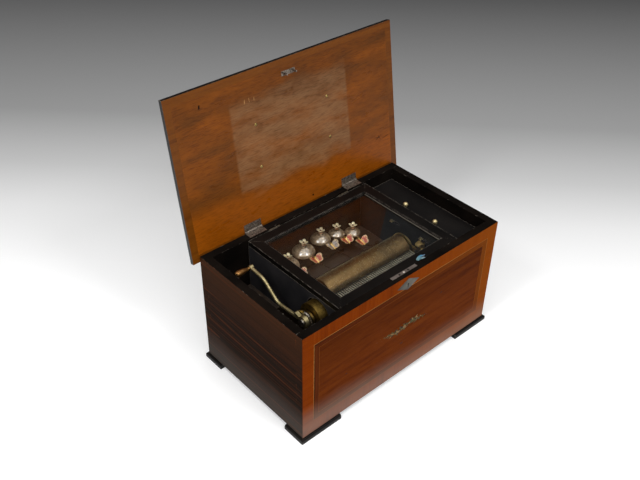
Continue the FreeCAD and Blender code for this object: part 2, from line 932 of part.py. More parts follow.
def barrel_bracket():
    """The left bracket of the winding arbor, with the holding click's stud."""
    bores = [(wind_arbor_r, wind_y, wind_z)]
    plate = bearing(barrel_bracket_x, barrel_bracket_t, [(wind_y, wind_z)], bores, -1)
    stud = rod_x(pawl_pin_r, ratchet_x, barrel_bracket_x, wind_y + click_pivot_y, wind_z + click_pivot_z)
    return joined([plate, stud])


def holding_click():
    """The click that keeps the ratchet from running back, lifted on a tooth tip."""
    hub_y, hub_z = wind_y + click_pivot_y, wind_z + click_pivot_z
    tip = polar(wind_y, wind_z, ratchet_r + pawl_clear, click_angle)
    heel = polar(wind_y, wind_z, ratchet_r + pawl_clear + click_w, click_angle)
    outline = [(hub_y, hub_z + pawl_hub_r), tip, heel, (hub_y, hub_z - pawl_hub_r)]
    arm = plate_x(outline, ratchet_x, ratchet_x + ratchet_t)
    hub = rod_x(pawl_hub_r, ratchet_x, ratchet_x + ratchet_t, hub_y, hub_z)
    return joined([hub, arm]).cut(rod_x(pawl_pin_r, ratchet_x, ratchet_x + ratchet_t, hub_y, hub_z))


def comb_screw_places():
    step = (comb_end - comb_start) / comb_screws
    return [(comb_start + step * (k + 0.5), comb_root_y - comb_back / 2) for k in range(comb_screws)]


def comb():
    """The steel comb: a clamped back and tuned teeth with weights under the longer notes."""
    high = comb_under_z + comb_t
    pieces = [box(comb_start, comb_end, comb_back_y, comb_root_y, comb_under_z, high)]
    for k in range(comb_teeth):
        x0 = comb_start + k * comb_pitch + comb_slit / 2
        x1 = x0 + comb_pitch - comb_slit
        weight = weight_most + (weight_least - weight_most) * k / (comb_teeth - 1)
        far = comb_tip_y - weight_back
        near = far + weight_len
        tip_low, tip_high = comb_z - comb_tip_t / 2, comb_z + comb_tip_t / 2
        outline = [(comb_root_y, comb_under_z), (far, comb_under_z), (far, comb_under_z - weight),
                   (near, comb_under_z - weight), (near, tip_low), (comb_tip_y, tip_low),
                   (comb_tip_y, tip_high), (comb_root_y, high - comb_tip_t)]
        pieces.append(plate_x(outline, x0, x1))
    whole = joined(pieces)
    for x, y in comb_screw_places():
        whole = whole.cut(screw_hole(x, y, high, comb_t))
    return whole


def comb_base():
    """The bar that holds the comb up: a foot, a web and a pad."""
    foot_y = comb_back_y - base_foot_out
    pad = comb_root_y - base_pad_in
    web = comb_back_y + base_web_in
    top = comb_under_z
    outline = [(foot_y, bed_z), (foot_y + base_foot_w, bed_z), (foot_y + base_foot_w, bed_z + base_foot_t),
               (web + base_web_t, bed_z + base_foot_t), (web + base_web_t, top - base_pad_t),
               (pad, top - base_pad_t), (pad, top), (comb_back_y, top), (comb_back_y, top - base_pad_t),
               (web, top - base_pad_t), (web, bed_z + base_foot_t), (foot_y, bed_z + base_foot_t)]
    bar = plate_x(outline, comb_start - base_end, comb_end + base_end)
    for x, y in comb_screw_places():
        bar = bar.cut(screw_hole(x, y, top, screw_depth))
    return bar


def cock_screw_places():
    return [(cheek_x + cheek_t / 2, fly_y + s * (cock_w / 2 - screw_head_r)) for s in (-1, 1)]


def governor_frame():
    """The governor's base and its right cheek, with bearings for the arbor and the endless screw."""
    y0, y1 = fly_y - gov_front, gov_y + gov_behind
    x0 = right_bearing_x + bearing_t + bearing_foot_w
    base = box(x0, cheek_x + cheek_t, y0, y1, bed_z, bed_z + gov_base_t)
    low_cheek = box(cheek_x, cheek_x + cheek_t, y0, y1, bed_z, gov_z + bearing_r)
    high_cheek = box(cheek_x, cheek_x + cheek_t, fly_y - cock_w / 2, fly_y + cock_w / 2, bed_z, gov_top)
    whole = joined([base, low_cheek, high_cheek])
    whole = whole.cut(rod_x(gov_arbor_r + run, cheek_x, cheek_x + cheek_t, gov_y, gov_z))
    whole = whole.cut(rod_z(fly_r + run, bed_z + gov_base_t - pivot_depth, bed_z + gov_base_t, fly_x, fly_y))
    for x, y in cock_screw_places():
        whole = whole.cut(screw_hole(x, y, gov_top, screw_depth))
    return whole


def governor_cock():
    """The leaf-shaped top bearing of the endless screw."""
    back = cheek_x + cheek_t
    half = cock_w / 2
    outline = [(back, fly_y - half), (back, fly_y + half), (cheek_x, fly_y + half), (fly_x, fly_y + cock_reach),
               (fly_x, fly_y - cock_reach), (cheek_x, fly_y - half)]
    leaf = plate_z(outline, gov_top, gov_top + cock_t)
    leaf = joined([leaf, rod_z(cock_reach, gov_top, gov_top + cock_t, fly_x, fly_y)])
    leaf = leaf.cut(rod_z(fly_r + run, gov_top, gov_top + pivot_depth, fly_x, fly_y))
    for x, y in cock_screw_places():
        leaf = leaf.cut(screw_hole(x, y, gov_top + cock_t, cock_t))
    return leaf


def control_stud(y):
    """The shouldered pivot screw that hangs a control lever under the deck."""
    low = control_z - control_bar_t - run
    head = rod_z(stud_head_r, low - stud_head_h, low, control_pivot_x, y)
    return joined([head, rod_z(stud_r, low, deck_z, control_pivot_x, y)])


def screws():
    """All the slotted screws of the movement and the two pivots of the control levers."""
    comb_top = comb_under_z + comb_t
    pieces = [screw(x, y, bed_z, screw_head_r, screw_depth + bed_t) for x, y in bed_screw_places()]
    pieces += [screw(x, y, comb_top, screw_head_r, screw_depth + comb_t) for x, y in comb_screw_places()]
    pieces += [screw(x, y, gov_top + cock_t, cheek_t / 2, screw_depth + cock_t) for x, y in cock_screw_places()]
    pieces += [control_stud(y) for y in (control_front, control_back)]
    return together(pieces)


def bell_form(r):
    """A bell's rise, its shoulder's radius and its crown's radius, with the two arcs tangent."""
    rise = bell_rise * r
    shoulder = bell_shoulder * r
    crown = ((r - shoulder) ** 2 + rise ** 2 - shoulder ** 2) / (2 * (rise - shoulder))
    return rise, shoulder, crown


def bell(b):
    """A domed nickel bell with a round shoulder and a boss round its post."""
    x, behind, r, drop = b[:4]
    rise, shoulder, crown = bell_form(r)
    out = V(r - shoulder, 0, crown - rise).normalize()
    half_out = (out + V(1, 0, 0)).normalize()

    def on_crown(radius, s):
        """A point of the crown's arc, with the crown's top at height 0."""
        return (radius, -crown + math.sqrt(s * s - radius * radius))

    def on_shoulder(towards, s):
        """A point of the shoulder's arc in a direction from its centre."""
        return (r - shoulder + s * towards.x, -rise + s * towards.z)

    thin_crown, thin_shoulder = crown - bell_t, shoulder - bell_t
    outer_join, inner_join = on_shoulder(out, shoulder), on_shoulder(out, thin_shoulder)
    edges = [
        line(on_crown(post_r, thin_crown), (post_r, bell_boss_h)),
        line((post_r, bell_boss_h), (bell_boss_r, bell_boss_h)),
        line((bell_boss_r, bell_boss_h), on_crown(bell_boss_r, crown)),
        arc(on_crown(bell_boss_r, crown), on_crown((bell_boss_r + outer_join[0]) / 2, crown), outer_join),
        arc(outer_join, on_shoulder(half_out, shoulder), (r, -rise)),
        line((r, -rise), (r - bell_t, -rise)),
        arc((r - bell_t, -rise), on_shoulder(half_out, thin_shoulder), inner_join),
        arc(inner_join, on_crown((post_r + inner_join[0]) / 2, thin_crown), on_crown(post_r, thin_crown)),
    ]
    return turned(edges, x, in_y - behind, bell_z - drop)


def bell_nut(b):
    """A nut with two round ears on a bell's post."""
    x, behind = b[:2]
    y = in_y - behind
    low = bell_z - b[3] + bell_boss_h
    pieces = [rod_z(nut_r, low, low + nut_h, x, y)]
    for side in (-1, 1):
        ear = V(x + side * nut_ear_x, y - nut_ear_t / 2, low + nut_ear_rise)
        pieces.append(Part.makeCylinder(nut_ear_r, nut_ear_t, ear, V(0, 1, 0)))
    return joined(pieces).cut(rod_z(post_r, low, low + nut_socket, x, y))


def bell_rail():
    """The steel plate behind the movement, on two legs, with a collared post for each bell."""
    x0 = bells[0][0] - rail_margin
    x1 = bells[-1][0] + rail_margin
    y0 = in_y - max(b[1] for b in bells) - rail_margin
    y1 = in_y - min(b[1] for b in bells) + rail_margin
    pieces = [box(x0, x1, y0, y1, rail_z, rail_z + rail_t)]
    mid = (x0 + x1) / 2
    for x in (mid - leg_x, mid + leg_x):
        pieces.append(box(x - leg_w / 2, x + leg_w / 2, y0 + rail_margin, y1 - rail_margin, board_z, rail_z))
    for x, behind, r, drop, angle, ahead in bells:
        y = in_y - behind
        top = bell_z - drop
        crown = bell_form(r)[2]
        seat = top - crown + math.sqrt((crown - bell_t) ** 2 - post_collar_r ** 2)
        pieces.append(rod_z(post_r, rail_z, top + bell_boss_h + nut_socket, x, y))
        pieces.append(rod_z(post_collar_r, seat - post_collar_h, seat, x, y))
    return joined(pieces)


def striker_head(b):
    """Where a striker's head stands at rest beside its bell."""
    x, behind, r, drop, angle, ahead = b
    reach = r + striker_gap + striker_head_r
    turn = math.radians(angle)
    z = bell_z - drop - bell_form(r)[0] + striker_head_rise
    return V(x + reach * math.cos(turn), in_y - behind + reach * math.sin(turn), z)


def wing_pair(middle, side):
    """A butterfly's fore and hind wing on one side, tilted up from its body."""
    wings = []
    fore = wing_fore, wing_fore_turn, wing_hind[1]
    hind = wing_hind, wing_hind_turn, -wing_fore[1]
    for (a, b), angle, at in (fore, hind):
        oval = Part.Face(Part.Wire(Part.Ellipse(V(0, 0, 0), a, b).toShape()))
        oval.rotate(V(0, 0, 0), V(0, 0, 1), side * angle)
        oval.translate(middle + V(side * a * wing_out, at * wing_along, -wing_t / 2))
        wing = oval.extrude(V(0, 0, wing_t))
        wing.rotate(middle, V(0, 1, 0), -side * wing_tilt)
        wings.append(wing)
    return wings


def striker(b):
    """A butterfly striker on its lever: a hub, a tail to the cylinder, an arm, four wings and a head."""
    tip = striker_head(b)
    middle = tip - V(0, b[5], 0)
    dip = math.radians(wing_dip)
    start = tip - V(0, math.cos(dip), math.sin(dip)) * (b[5] + wing_body_len / 2)
    hub = rod_x(striker_hub_r, tip.x - striker_hub_w / 2, tip.x + striker_hub_w / 2, striker_y, striker_z)
    down = cyl_z - striker_z
    tail_y = cyl_y + math.sqrt(cyl_r ** 2 - down ** 2) + striker_tail_gap
    half = striker_tail_w / 2
    tail = plate_x([(striker_y, striker_z - striker_tail_h / 2), (striker_y, striker_z + striker_tail_h / 2),
                    (tail_y, striker_z)], tip.x - half, tip.x + half)
    arm = rod(striker_arm_r, V(tip.x, striker_y, striker_z), start)
    body = rod(wing_body_r, start, tip)
    head = rod_z(striker_head_r, tip.z - striker_head_h / 2, tip.z + striker_head_h / 2, tip.x, tip.y)
    wings = wing_pair(middle, -1) + wing_pair(middle, 1)
    for wing in wings:
        wing.rotate(tip, V(1, 0, 0), wing_dip)
    pieces = [hub, tail, arm, body, head] + wings
    bore = rod_x(striker_rod_r + run, tip.x - striker_hub_w, tip.x + striker_hub_w, striker_y, striker_z)
    return joined(pieces).cut(bore)


def striker_ends():
    """The outer ends of the striker rod, past the first and last hubs."""
    reach = striker_hub_w / 2 + striker_post_gap
    return striker_head(bells[0]).x - reach, striker_head(bells[-1]).x + reach


def striker_rod():
    x0, x1 = striker_ends()
    return rod_x(striker_rod_r, x0 - striker_post, x1 + striker_post, striker_y, striker_z)


def striker_posts():
    """Two upright posts that carry the striker rod."""
    x0, x1 = striker_ends()
    half = striker_post / 2
    top = striker_z + striker_post_top
    posts = []
    for a, b in ((x0 - striker_post, x0), (x1, x1 + striker_post)):
        post = box(a, b, striker_y - half, striker_y + half, bed_z, top)
        posts.append(post.cut(rod_x(striker_rod_r, a, b, striker_y, striker_z)))
    return together(posts)


def bent_path(points, bend):
    """Straight runs through (y, z) points, with tangent arcs at the corners."""
    corners = [V(lever_x + lever_hub_t / 2, y, z) for y, z in points]
    edges = []
    start = corners[0]
    for before, here, after in zip(corners, corners[1:], corners[2:]):
        a = (before - here).normalize()
        c = (after - here).normalize()
        half = a.getAngle(c) / 2
        cut = bend / math.tan(half)
        towards = (a + c).normalize()
        centre = here + towards * (bend / math.sin(half))
        p0, p1 = here + a * cut, here + c * cut
        edges += [Part.makeLine(start, p0), Part.Arc(p0, centre - towards * bend, p1).toShape()]
        start = p1
    edges.append(Part.makeLine(start, corners[-1]))
    return Part.Wire(edges)


def lever_points():
    """The lever's bends, from its hub to the grip."""
    return [(wind_y, wind_z), (wind_y + lever_reach_low, wind_z - lever_low),
            (wind_y + lever_reach_high, wind_z + lever_rise_high),
            (wind_y + lever_reach_end, wind_z + lever_rise_end)]


def winding_lever():
    """The cranked winding lever with its hub, the pawl's lug and the seat of its grip."""
    points = lever_points()
    path = bent_path(points, lever_bend)
    ring = Part.Circle(path.Vertexes[0].Point, path.Edges[0].tangentAt(0), lever_r)
    arm = path.makePipe(Part.Face(Part.Wire(ring.toShape())))
    mid = lever_x + lever_hub_t / 2
    hub = rod_x(lever_hub_r, lever_x, lever_x + lever_hub_t, wind_y, wind_z)
    side_y, side_z = polar(0, 0, pawl_hub_r, pawl_angle + math.pi / 2)
    web = [(wind_y - side_y, wind_z - side_z), (pawl_y - side_y, pawl_z - side_z),
           (pawl_y + side_y, pawl_z + side_z), (wind_y + side_y, wind_z + side_z)]
    lug = plate_x(web, lever_x, lever_x + lever_hub_t)
    lug_end = rod_x(pawl_hub_r, lever_x, lever_x + lever_hub_t, pawl_y, pawl_z)
    pin = rod_x(pawl_pin_r, lever_x, ratchet_x + ratchet_t, pawl_y, pawl_z)
    end_y, end_z = points[-1]
    eye = rod_x(lever_r + lever_eye, mid - lever_r, mid + lever_r, end_y, end_z)
    whole = joined([hub, arm, lug, lug_end, pin, eye])
    return whole.cut(rod_x(wind_arbor_r + run, lever_x, lever_x + lever_hub_t, wind_y, wind_z))


def lever_grip():
    """The turned grip on the lever's end: a narrow neck that swells to a round end beside the left wall."""
    end_y, end_z = lever_points()[-1]
    fat = grip_len - grip_r
    swell = grip_r - grip_neck_r
    rise = fat - grip_neck
    bow = (swell ** 2 + rise ** 2) / (2 * swell)
    half = math.asin(rise / bow) / 2
    side = (grip_r - bow + bow * math.cos(half), fat - bow * math.sin(half))
    end = (grip_r * math.cos(math.pi / 4), fat + grip_r * math.sin(math.pi / 4))
    edges = [
        line((0, 0), (grip_neck_r, 0)),
        line((grip_neck_r, 0), (grip_neck_r, grip_neck)),
        arc((grip_neck_r, grip_neck), side, (grip_r, fat)),
        arc((grip_r, fat), end, (0, grip_len)),
        line((0, grip_len), (0, 0)),
    ]
    shape = turned(edges, 0, 0, 0)
    shape.rotate(V(0, 0, 0), V(0, 1, 0), -90)
    return shape.translated(V(lever_x + lever_hub_t / 2 - lever_r, end_y, end_z))


def lever_pawl():
    """The pawl that pushes the ratchet round as the lever is raised."""
    pitch = 2 * math.pi / ratchet_teeth
    lean = pawl_clear / ratchet_r
    outside = ratchet_r + pawl_clear
    tip_r = ratchet_r - ratchet_depth + pawl_tip_clear
    back = ratchet_face - pawl_tail * pitch
    outline = [
        polar(wind_y, wind_z, tip_r, ratchet_face - lean),
        polar(wind_y, wind_z, outside + pawl_hub_r, ratchet_face - lean),
        polar(pawl_y, pawl_z, pawl_hub_r, pawl_angle),
        polar(pawl_y, pawl_z, pawl_hub_r, pawl_angle + math.pi),
        polar(wind_y, wind_z, outside, back),
    ]
    arm = plate_x(outline, ratchet_x, ratchet_x + ratchet_t)
    hub = rod_x(pawl_hub_r, ratchet_x, ratchet_x + ratchet_t, pawl_y, pawl_z)
    return joined([arm, hub]).cut(rod_x(pawl_pin_r + run, ratchet_x, ratchet_x + ratchet_t, pawl_y, pawl_z))


def winding_arbor():
    """The arbor through the barrel, with its ratchet and a knob that keeps the lever on."""
    outline = []
    for k in range(ratchet_teeth):
        angle = ratchet_face + 2 * math.pi * k / ratchet_teeth
        outline.append(polar(wind_y, wind_z, ratchet_r - ratchet_depth, angle))
        outline.append(polar(wind_y, wind_z, ratchet_r, angle))
    ratchet = plate_x(outline, ratchet_x, ratchet_x + ratchet_t)
    knob = rod_x(knob_r, lever_x - knob_len, lever_x - run, wind_y, wind_z)
    shaft = rod_x(wind_arbor_r, lever_x - knob_len, left_bearing_x + bearing_t + arbor_end, wind_y, wind_z)
    return joined([shaft, ratchet, knob])


def spring_barrel():
    """The barrel drum with its great wheel, open at the left for its cap."""
    wheel = gear(barrel_module, barrel_teeth, barrel_wheel_x, barrel_wheel_x + barrel_wheel_t, wind_y, wind_z,
                 barrel_angle - math.pi)
    drum = rod_x(barrel_r, barrel_left, barrel_wheel_x, wind_y, wind_z)
    room = rod_x(barrel_r - barrel_wall, barrel_left, barrel_wheel_x - barrel_end_t, wind_y, wind_z)
    whole = joined([drum.cut(room), wheel])
    return whole.cut(rod_x(wind_arbor_r + run, barrel_left, barrel_wheel_x + barrel_wheel_t, wind_y, wind_z))


def barrel_cap():
    cap = rod_x(barrel_r - barrel_wall, barrel_left, barrel_left + barrel_end_t, wind_y, wind_z)
    return cap.cut(rod_x(wind_arbor_r + run, barrel_left, barrel_left + barrel_end_t, wind_y, wind_z))


def mainspring():
    """A run-down spring: half turns of growing radius against the barrel's wall."""
    x0 = barrel_left + barrel_end_t + spring_margin
    x1 = barrel_wheel_x - barrel_end_t - spring_margin
    outer_r = barrel_r - barrel_wall - spring_margin
    halves = 2 * spring_turns
    first_r = outer_r - spring_pitch * halves / 2
    near, far = [], []
    for k in range(halves):
        centre = wind_y + (spring_pitch / 2 if k % 2 else 0)
        r = first_r + spring_pitch * k / 2
        for edges, s in ((near, r - spring_t / 2), (far, r + spring_t / 2)):
            ends = [V(x0, *polar(centre, wind_z, s, math.pi * (k + h))) for h in (0, 0.5, 1)]
            edges.append(Part.Arc(*ends).toShape())
    start = Part.makeLine(near[0].firstVertex().Point, far[0].firstVertex().Point)
    end = Part.makeLine(near[-1].lastVertex().Point, far[-1].lastVertex().Point)
    return Part.Face(Part.Wire(Part.__sortEdges__(near + far + [start, end]))).extrude(V(x1 - x0, 0, 0))


def cylinder_arbor():
    """The cylinder's arbor with the pinion that the barrel drives."""
    p0 = barrel_wheel_x - pinion_extra
    p1 = barrel_wheel_x + barrel_wheel_t + pinion_extra
    pinion = gear(barrel_module, pinion_teeth, p0, p1, cyl_y, cyl_z, barrel_angle + math.pi / pinion_teeth)
    shaft = rod_x(arbor_r, p0 - arbor_end, right_bearing_x + bearing_t + arbor_end, cyl_y, cyl_z)
    return joined([pinion, shaft])


def cylinder_wheel():
    """The wheel at the cylinder's right end that drives the governor."""
    wheel = gear(wheel_module, wheel_teeth, wheel_x, wheel_x + wheel_t, cyl_y, cyl_z, gov_angle)
    return wheel.cut(rod_x(arbor_r, wheel_x, wheel_x + wheel_t, cyl_y, cyl_z))


def cylinder():
    """The brass cylinder, a thin tube with a cap at each end that slides on the arbor."""
    tube = rod_x(cyl_r, cyl_left, cyl_right, cyl_y, cyl_z)
    tube = tube.cut(rod_x(cyl_r - cyl_wall, cyl_left + cyl_cap_t, cyl_right - cyl_cap_t, cyl_y, cyl_z))
    return tube.cut(rod_x(arbor_r + run, cyl_left, cyl_right, cyl_y, cyl_z))


def governor_arbor():
    """The governor's pinion, arbor and worm wheel."""
    p0, p1 = wheel_x - gov_pinion_extra, wheel_x + wheel_t + gov_pinion_extra
    turn = gov_angle + math.pi + math.pi / gov_pinion_teeth
    pinion = gear(wheel_module, gov_pinion_teeth, p0, p1, gov_y, gov_z, turn)
    w0 = fly_x - worm_wheel_t / 2
    wheel = gear(wheel_module, worm_teeth, w0, w0 + worm_wheel_t, gov_y, gov_z, math.pi + math.pi / worm_teeth)
    return joined([pinion, wheel, rod_x(gov_arbor_r, p0, cheek_x + cheek_t, gov_y, gov_z)])


def governor_fly():
    """The endless screw with its fan."""
    low_turn = worm_turns // 2 + 0.5
    z0 = gov_z - worm_pitch / 4 - low_turn * worm_pitch + worm_pitch / 2
    root_r = worm_r - dedendum * wheel_module
    tip_r = worm_r + addendum * wheel_module
    pitch_half = worm_pitch / 4 - backlash
    slope = math.tan(pressure)
    tip_half = pitch_half - (tip_r - worm_r) * slope
    root_half = pitch_half + (worm_r - root_r) * slope
    sunk = root_r - backlash
    profile = [V(sunk, 0, -root_half), V(tip_r, 0, -tip_half), V(tip_r, 0, tip_half), V(sunk, 0, root_half)]
    helix = Part.makeHelix(worm_pitch, worm_turns * worm_pitch, worm_r)
    thread = Part.Wire(helix).makePipeShell([Part.makePolygon(profile + profile[:1])], True, True)
    thread.translate(V(fly_x, fly_y, z0))
    core = rod_z(root_r, z0 - worm_pitch, z0 + (worm_turns + 1) * worm_pitch, fly_x, fly_y)
    shaft = rod_z(fly_r, bed_z + gov_base_t - pivot_depth + run, gov_top + pivot_depth - run, fly_x, fly_y)
    fan_z = gov_z + fan_rise
    fan = box(fly_x - fan_w / 2, fly_x + fan_w / 2, fly_y - fan_t / 2, fly_y + fan_t / 2, fan_z, fan_z + fan_h)
    return joined([core, thread, shaft, fan])


def control_lever(y):
    """A control lever under the deck: a hub, a bar, a stem through the deck and a ball knob."""
    hub = rod_z(control_hub_r, control_z - control_bar_t, deck_under - side_gap, control_pivot_x, y)
    x0 = control_pivot_x - control_inner
    half = control_bar_w / 2
    bar = box(x0, control_x, y - half, y + half, control_z - control_bar_t, control_z)
    end = rod_z(half, control_z - control_bar_t, control_z, control_x, y)
    ball_z = deck_z + ball_rise
    stem = rod_z(stem_r, control_z - control_bar_t, ball_z, control_x, y)
    ball = Part.makeSphere(ball_r, V(control_x, y, ball_z))
    whole = joined([hub, bar, end, stem, ball])
    return whole.cut(rod_z(stud_r + run, control_z - control_bar_t, deck_under, control_pivot_x, y))


def all_parts():
    """Every node with its shape, standing as it is used with the lid open."""
    lid_fixed, lid_moving = lid_hinges()
    inner_fixed, inner_moving = inner_hinges()
    parts = {
        "front_wall": front_wall(),
        "back_wall": back_wall(),
        "left_wall": side_wall(-1),
        "right_wall": side_wall(1),
        "bottom_board": bottom_board(),
        "sound_board": sound_board(),
        "board_cleats": cleats(),
        "left_partition": left_partition(),
        "right_partition": right_partition(),
        "control_deck": control_deck(),
        "corner_feet": feet(),
        "lid_hinge_case_leaves": lid_fixed,
        "inner_hinge_case_leaves": inner_fixed,
        "lock_case": lock_case(),
        "lock_bolt": lock_bolt(),
        "key_escutcheon": escutcheon(),
        "lid_panel": opened(lid_panel()),
        "lid_moulding": opened(lid_moulding()),
        "lid_hinge_leaves": opened(lid_moving),
        "lid_link_plate": opened(link_plate()),
        "lid_tacks": opened(together([tack(x, y) for x, y in tack_places()])),
        "inner_lid_rails": inner_frame(),
        "glass_pane": glass_pane(),
        "glazing_beads": glazing_beads(),
        "inner_hinge_leaves": inner_moving,
        "ribbon_pull": ribbon_pull(),
        "bedplate": bedplate(),
        "movement_screws": screws(),
        "left_bearing": left_bearing(),
        "right_bearing": right_bearing(),
        "barrel_bracket": barrel_bracket(),
        "holding_click": holding_click(),
        "comb": comb(),
        "comb_base": comb_base(),
        "governor_frame": governor_frame(),
        "governor_cock": governor_cock(),
        "bells": together([bell(b) for b in bells]),
        "bell_nuts": together([bell_nut(b) for b in bells]),
        "bell_rail": bell_rail(),
        "striker_rod": striker_rod(),
        "striker_posts": striker_posts(),
        "winding_lever": winding_lever(),
        "lever_grip": lever_grip(),
        "lever_pawl": lever_pawl(),
        "winding_arbor": winding_arbor(),
        "spring_barrel": spring_barrel(),
        "barrel_cap": barrel_cap(),
        "mainspring": mainspring(),
        "cylinder_arbor": cylinder_arbor(),
        "cylinder_wheel": cylinder_wheel(),
        "pinned_cylinder": cylinder(),
        "governor_arbor": governor_arbor(),
        "governor_fly": governor_fly(),
        "stop_lever": control_lever(control_front),
        "change_lever": control_lever(control_back),
    }
    for number, b in enumerate(bells, 1):
        parts[f"bell_striker_{number}"] = striker(b)
    return parts


def main():
    os.makedirs("parts", exist_ok=True)
    parts = all_parts()
    front = parts["corner_feet"].optimalBoundingBox().YMin
    back = parts["lid_moulding"].optimalBoundingBox().YMax
    to_middle = V(0, -(front + back) / 2, 0)
    for name, shape in parts.items():
        shape.translated(to_middle).exportStep(f"parts/{name}.step")
    axes = {
        "shift": (0, to_middle.y, 0),
        "lid hinge": (0, lid_y, lid_z),
        "inner lid hinge": (0, inner_y, inner_z),
        "winding arbor": (lever_x, wind_y, wind_z),
        "pawl": (ratchet_x, pawl_y, pawl_z),
        "cylinder": (0, cyl_y, cyl_z),
        "governor": (fly_x, gov_y, gov_z),
        "fly": (fly_x, fly_y, gov_z),
        "strikers": (0, striker_y, striker_z),
        "control pivot": (control_pivot_x, 0, deck_z),
    }
    for name, place in axes.items():
        print(name, [round(v, 4) for v in place])


main()
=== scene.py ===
"""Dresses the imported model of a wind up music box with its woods, inlay, metals, enamel and silk."""

import json
import math
import random

import bmesh
import bpy
from mathutils import Matrix, Vector


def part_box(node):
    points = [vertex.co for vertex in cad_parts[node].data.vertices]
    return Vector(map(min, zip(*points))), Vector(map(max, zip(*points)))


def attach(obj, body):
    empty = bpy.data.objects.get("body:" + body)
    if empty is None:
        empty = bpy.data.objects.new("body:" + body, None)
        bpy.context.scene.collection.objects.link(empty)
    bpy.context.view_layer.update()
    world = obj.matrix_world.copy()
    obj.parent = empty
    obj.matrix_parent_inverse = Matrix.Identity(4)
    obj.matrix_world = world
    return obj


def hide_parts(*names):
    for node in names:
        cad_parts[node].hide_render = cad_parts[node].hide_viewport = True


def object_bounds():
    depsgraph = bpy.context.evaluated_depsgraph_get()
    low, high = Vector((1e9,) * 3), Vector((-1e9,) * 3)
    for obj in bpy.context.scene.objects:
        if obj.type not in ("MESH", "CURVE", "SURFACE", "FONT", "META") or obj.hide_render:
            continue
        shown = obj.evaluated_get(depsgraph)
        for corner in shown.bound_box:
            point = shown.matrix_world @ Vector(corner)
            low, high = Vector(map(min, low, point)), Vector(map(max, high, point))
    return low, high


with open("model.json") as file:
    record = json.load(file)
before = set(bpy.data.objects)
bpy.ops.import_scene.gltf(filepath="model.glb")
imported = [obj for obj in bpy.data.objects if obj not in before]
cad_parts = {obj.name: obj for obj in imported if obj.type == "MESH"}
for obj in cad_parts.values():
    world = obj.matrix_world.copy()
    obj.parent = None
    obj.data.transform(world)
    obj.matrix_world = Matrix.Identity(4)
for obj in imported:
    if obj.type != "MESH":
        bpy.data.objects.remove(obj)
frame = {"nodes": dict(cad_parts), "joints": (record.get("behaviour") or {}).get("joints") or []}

bl_info = {
    "name": "Wind Up Music Box",
    "version": (1, 0, 0),
    "blender": (4, 5, 0),
    "location": "View3D > Sidebar > Music Box",
    "description": "Finishes and small pieces of a cylinder music box with bells",
    "category": "Object",
}

# Places read from the frame

MM = 0.001
X, Y, Z = Vector((1, 0, 0)), Vector((0, 1, 0)), Vector((0, 0, 1))
cad_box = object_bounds()
nodes = frame["nodes"]
joints = {joint["name"]: joint for joint in frame["joints"]}
lid_pin = Vector(joints["lid_hinge"]["pos_m"])
lid_axis = Vector(joints["lid_hinge"]["axis"])
lid_angle = math.radians(-joints["lid_hinge"]["range_deg"][0])
lid_opened = (Matrix.Translation(lid_pin) @ Matrix.Rotation(lid_angle, 4, lid_axis)
              @ Matrix.Translation(-lid_pin))
case_low, case_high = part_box("front_wall")


def shut_box(node):
    """A lid piece's lowest and highest corner with the lid shut."""
    shut = lid_opened.inverted()
    points = [shut @ vertex.co for vertex in nodes[node].data.vertices]
    return (Vector([min(point[k] for point in points) for k in range(3)]),
            Vector([max(point[k] for point in points) for k in range(3)]))


def face_frame(origin, across, up):
    """A frame that lies on a flat face: across it, up it and out of it."""
    turn = Matrix((across, up, across.cross(up))).transposed()
    return Matrix.Translation(origin) @ turn.to_4x4()


lid_low, lid_high = shut_box("lid_panel")
front_face = face_frame(Vector((0, case_low.y, case_low.z)), X, Z)
lid_top_face = lid_opened @ face_frame(Vector((0, lid_low.y, lid_high.z)), X, Y)
lid_inside_face = lid_opened @ face_frame(Vector((0, lid_pin.y, lid_low.z)), X, -Y)


# Sizes, colours and the stage

def linear(hex_colour):
    """An sRGB hex colour as linear red, green and blue."""
    parts = [int(hex_colour[k:k + 2], 16) / 255 for k in (1, 3, 5)]
    return [part / 12.92 if part <= 0.04045 else ((part + 0.055) / 1.055) ** 2.4 for part in parts]


def length(name, description, mm):
    """A size that a user may change, given in millimetres."""
    return bpy.props.FloatProperty(name=name, description=description, default=mm * MM,
                                   unit="LENGTH", precision=5)


def angle(name, description, degrees):
    """An angle that a user may change, given in degrees."""
    return bpy.props.FloatProperty(name=name, description=description, default=math.radians(degrees),
                                   unit="ROTATION", subtype="ANGLE")


def tint(name, description, hex_colour):
    """A colour that a user may change, given as sRGB."""
    return bpy.props.FloatVectorProperty(name=name, description=description, default=linear(hex_colour),
                                         subtype="COLOR", size=3, min=0, max=1)


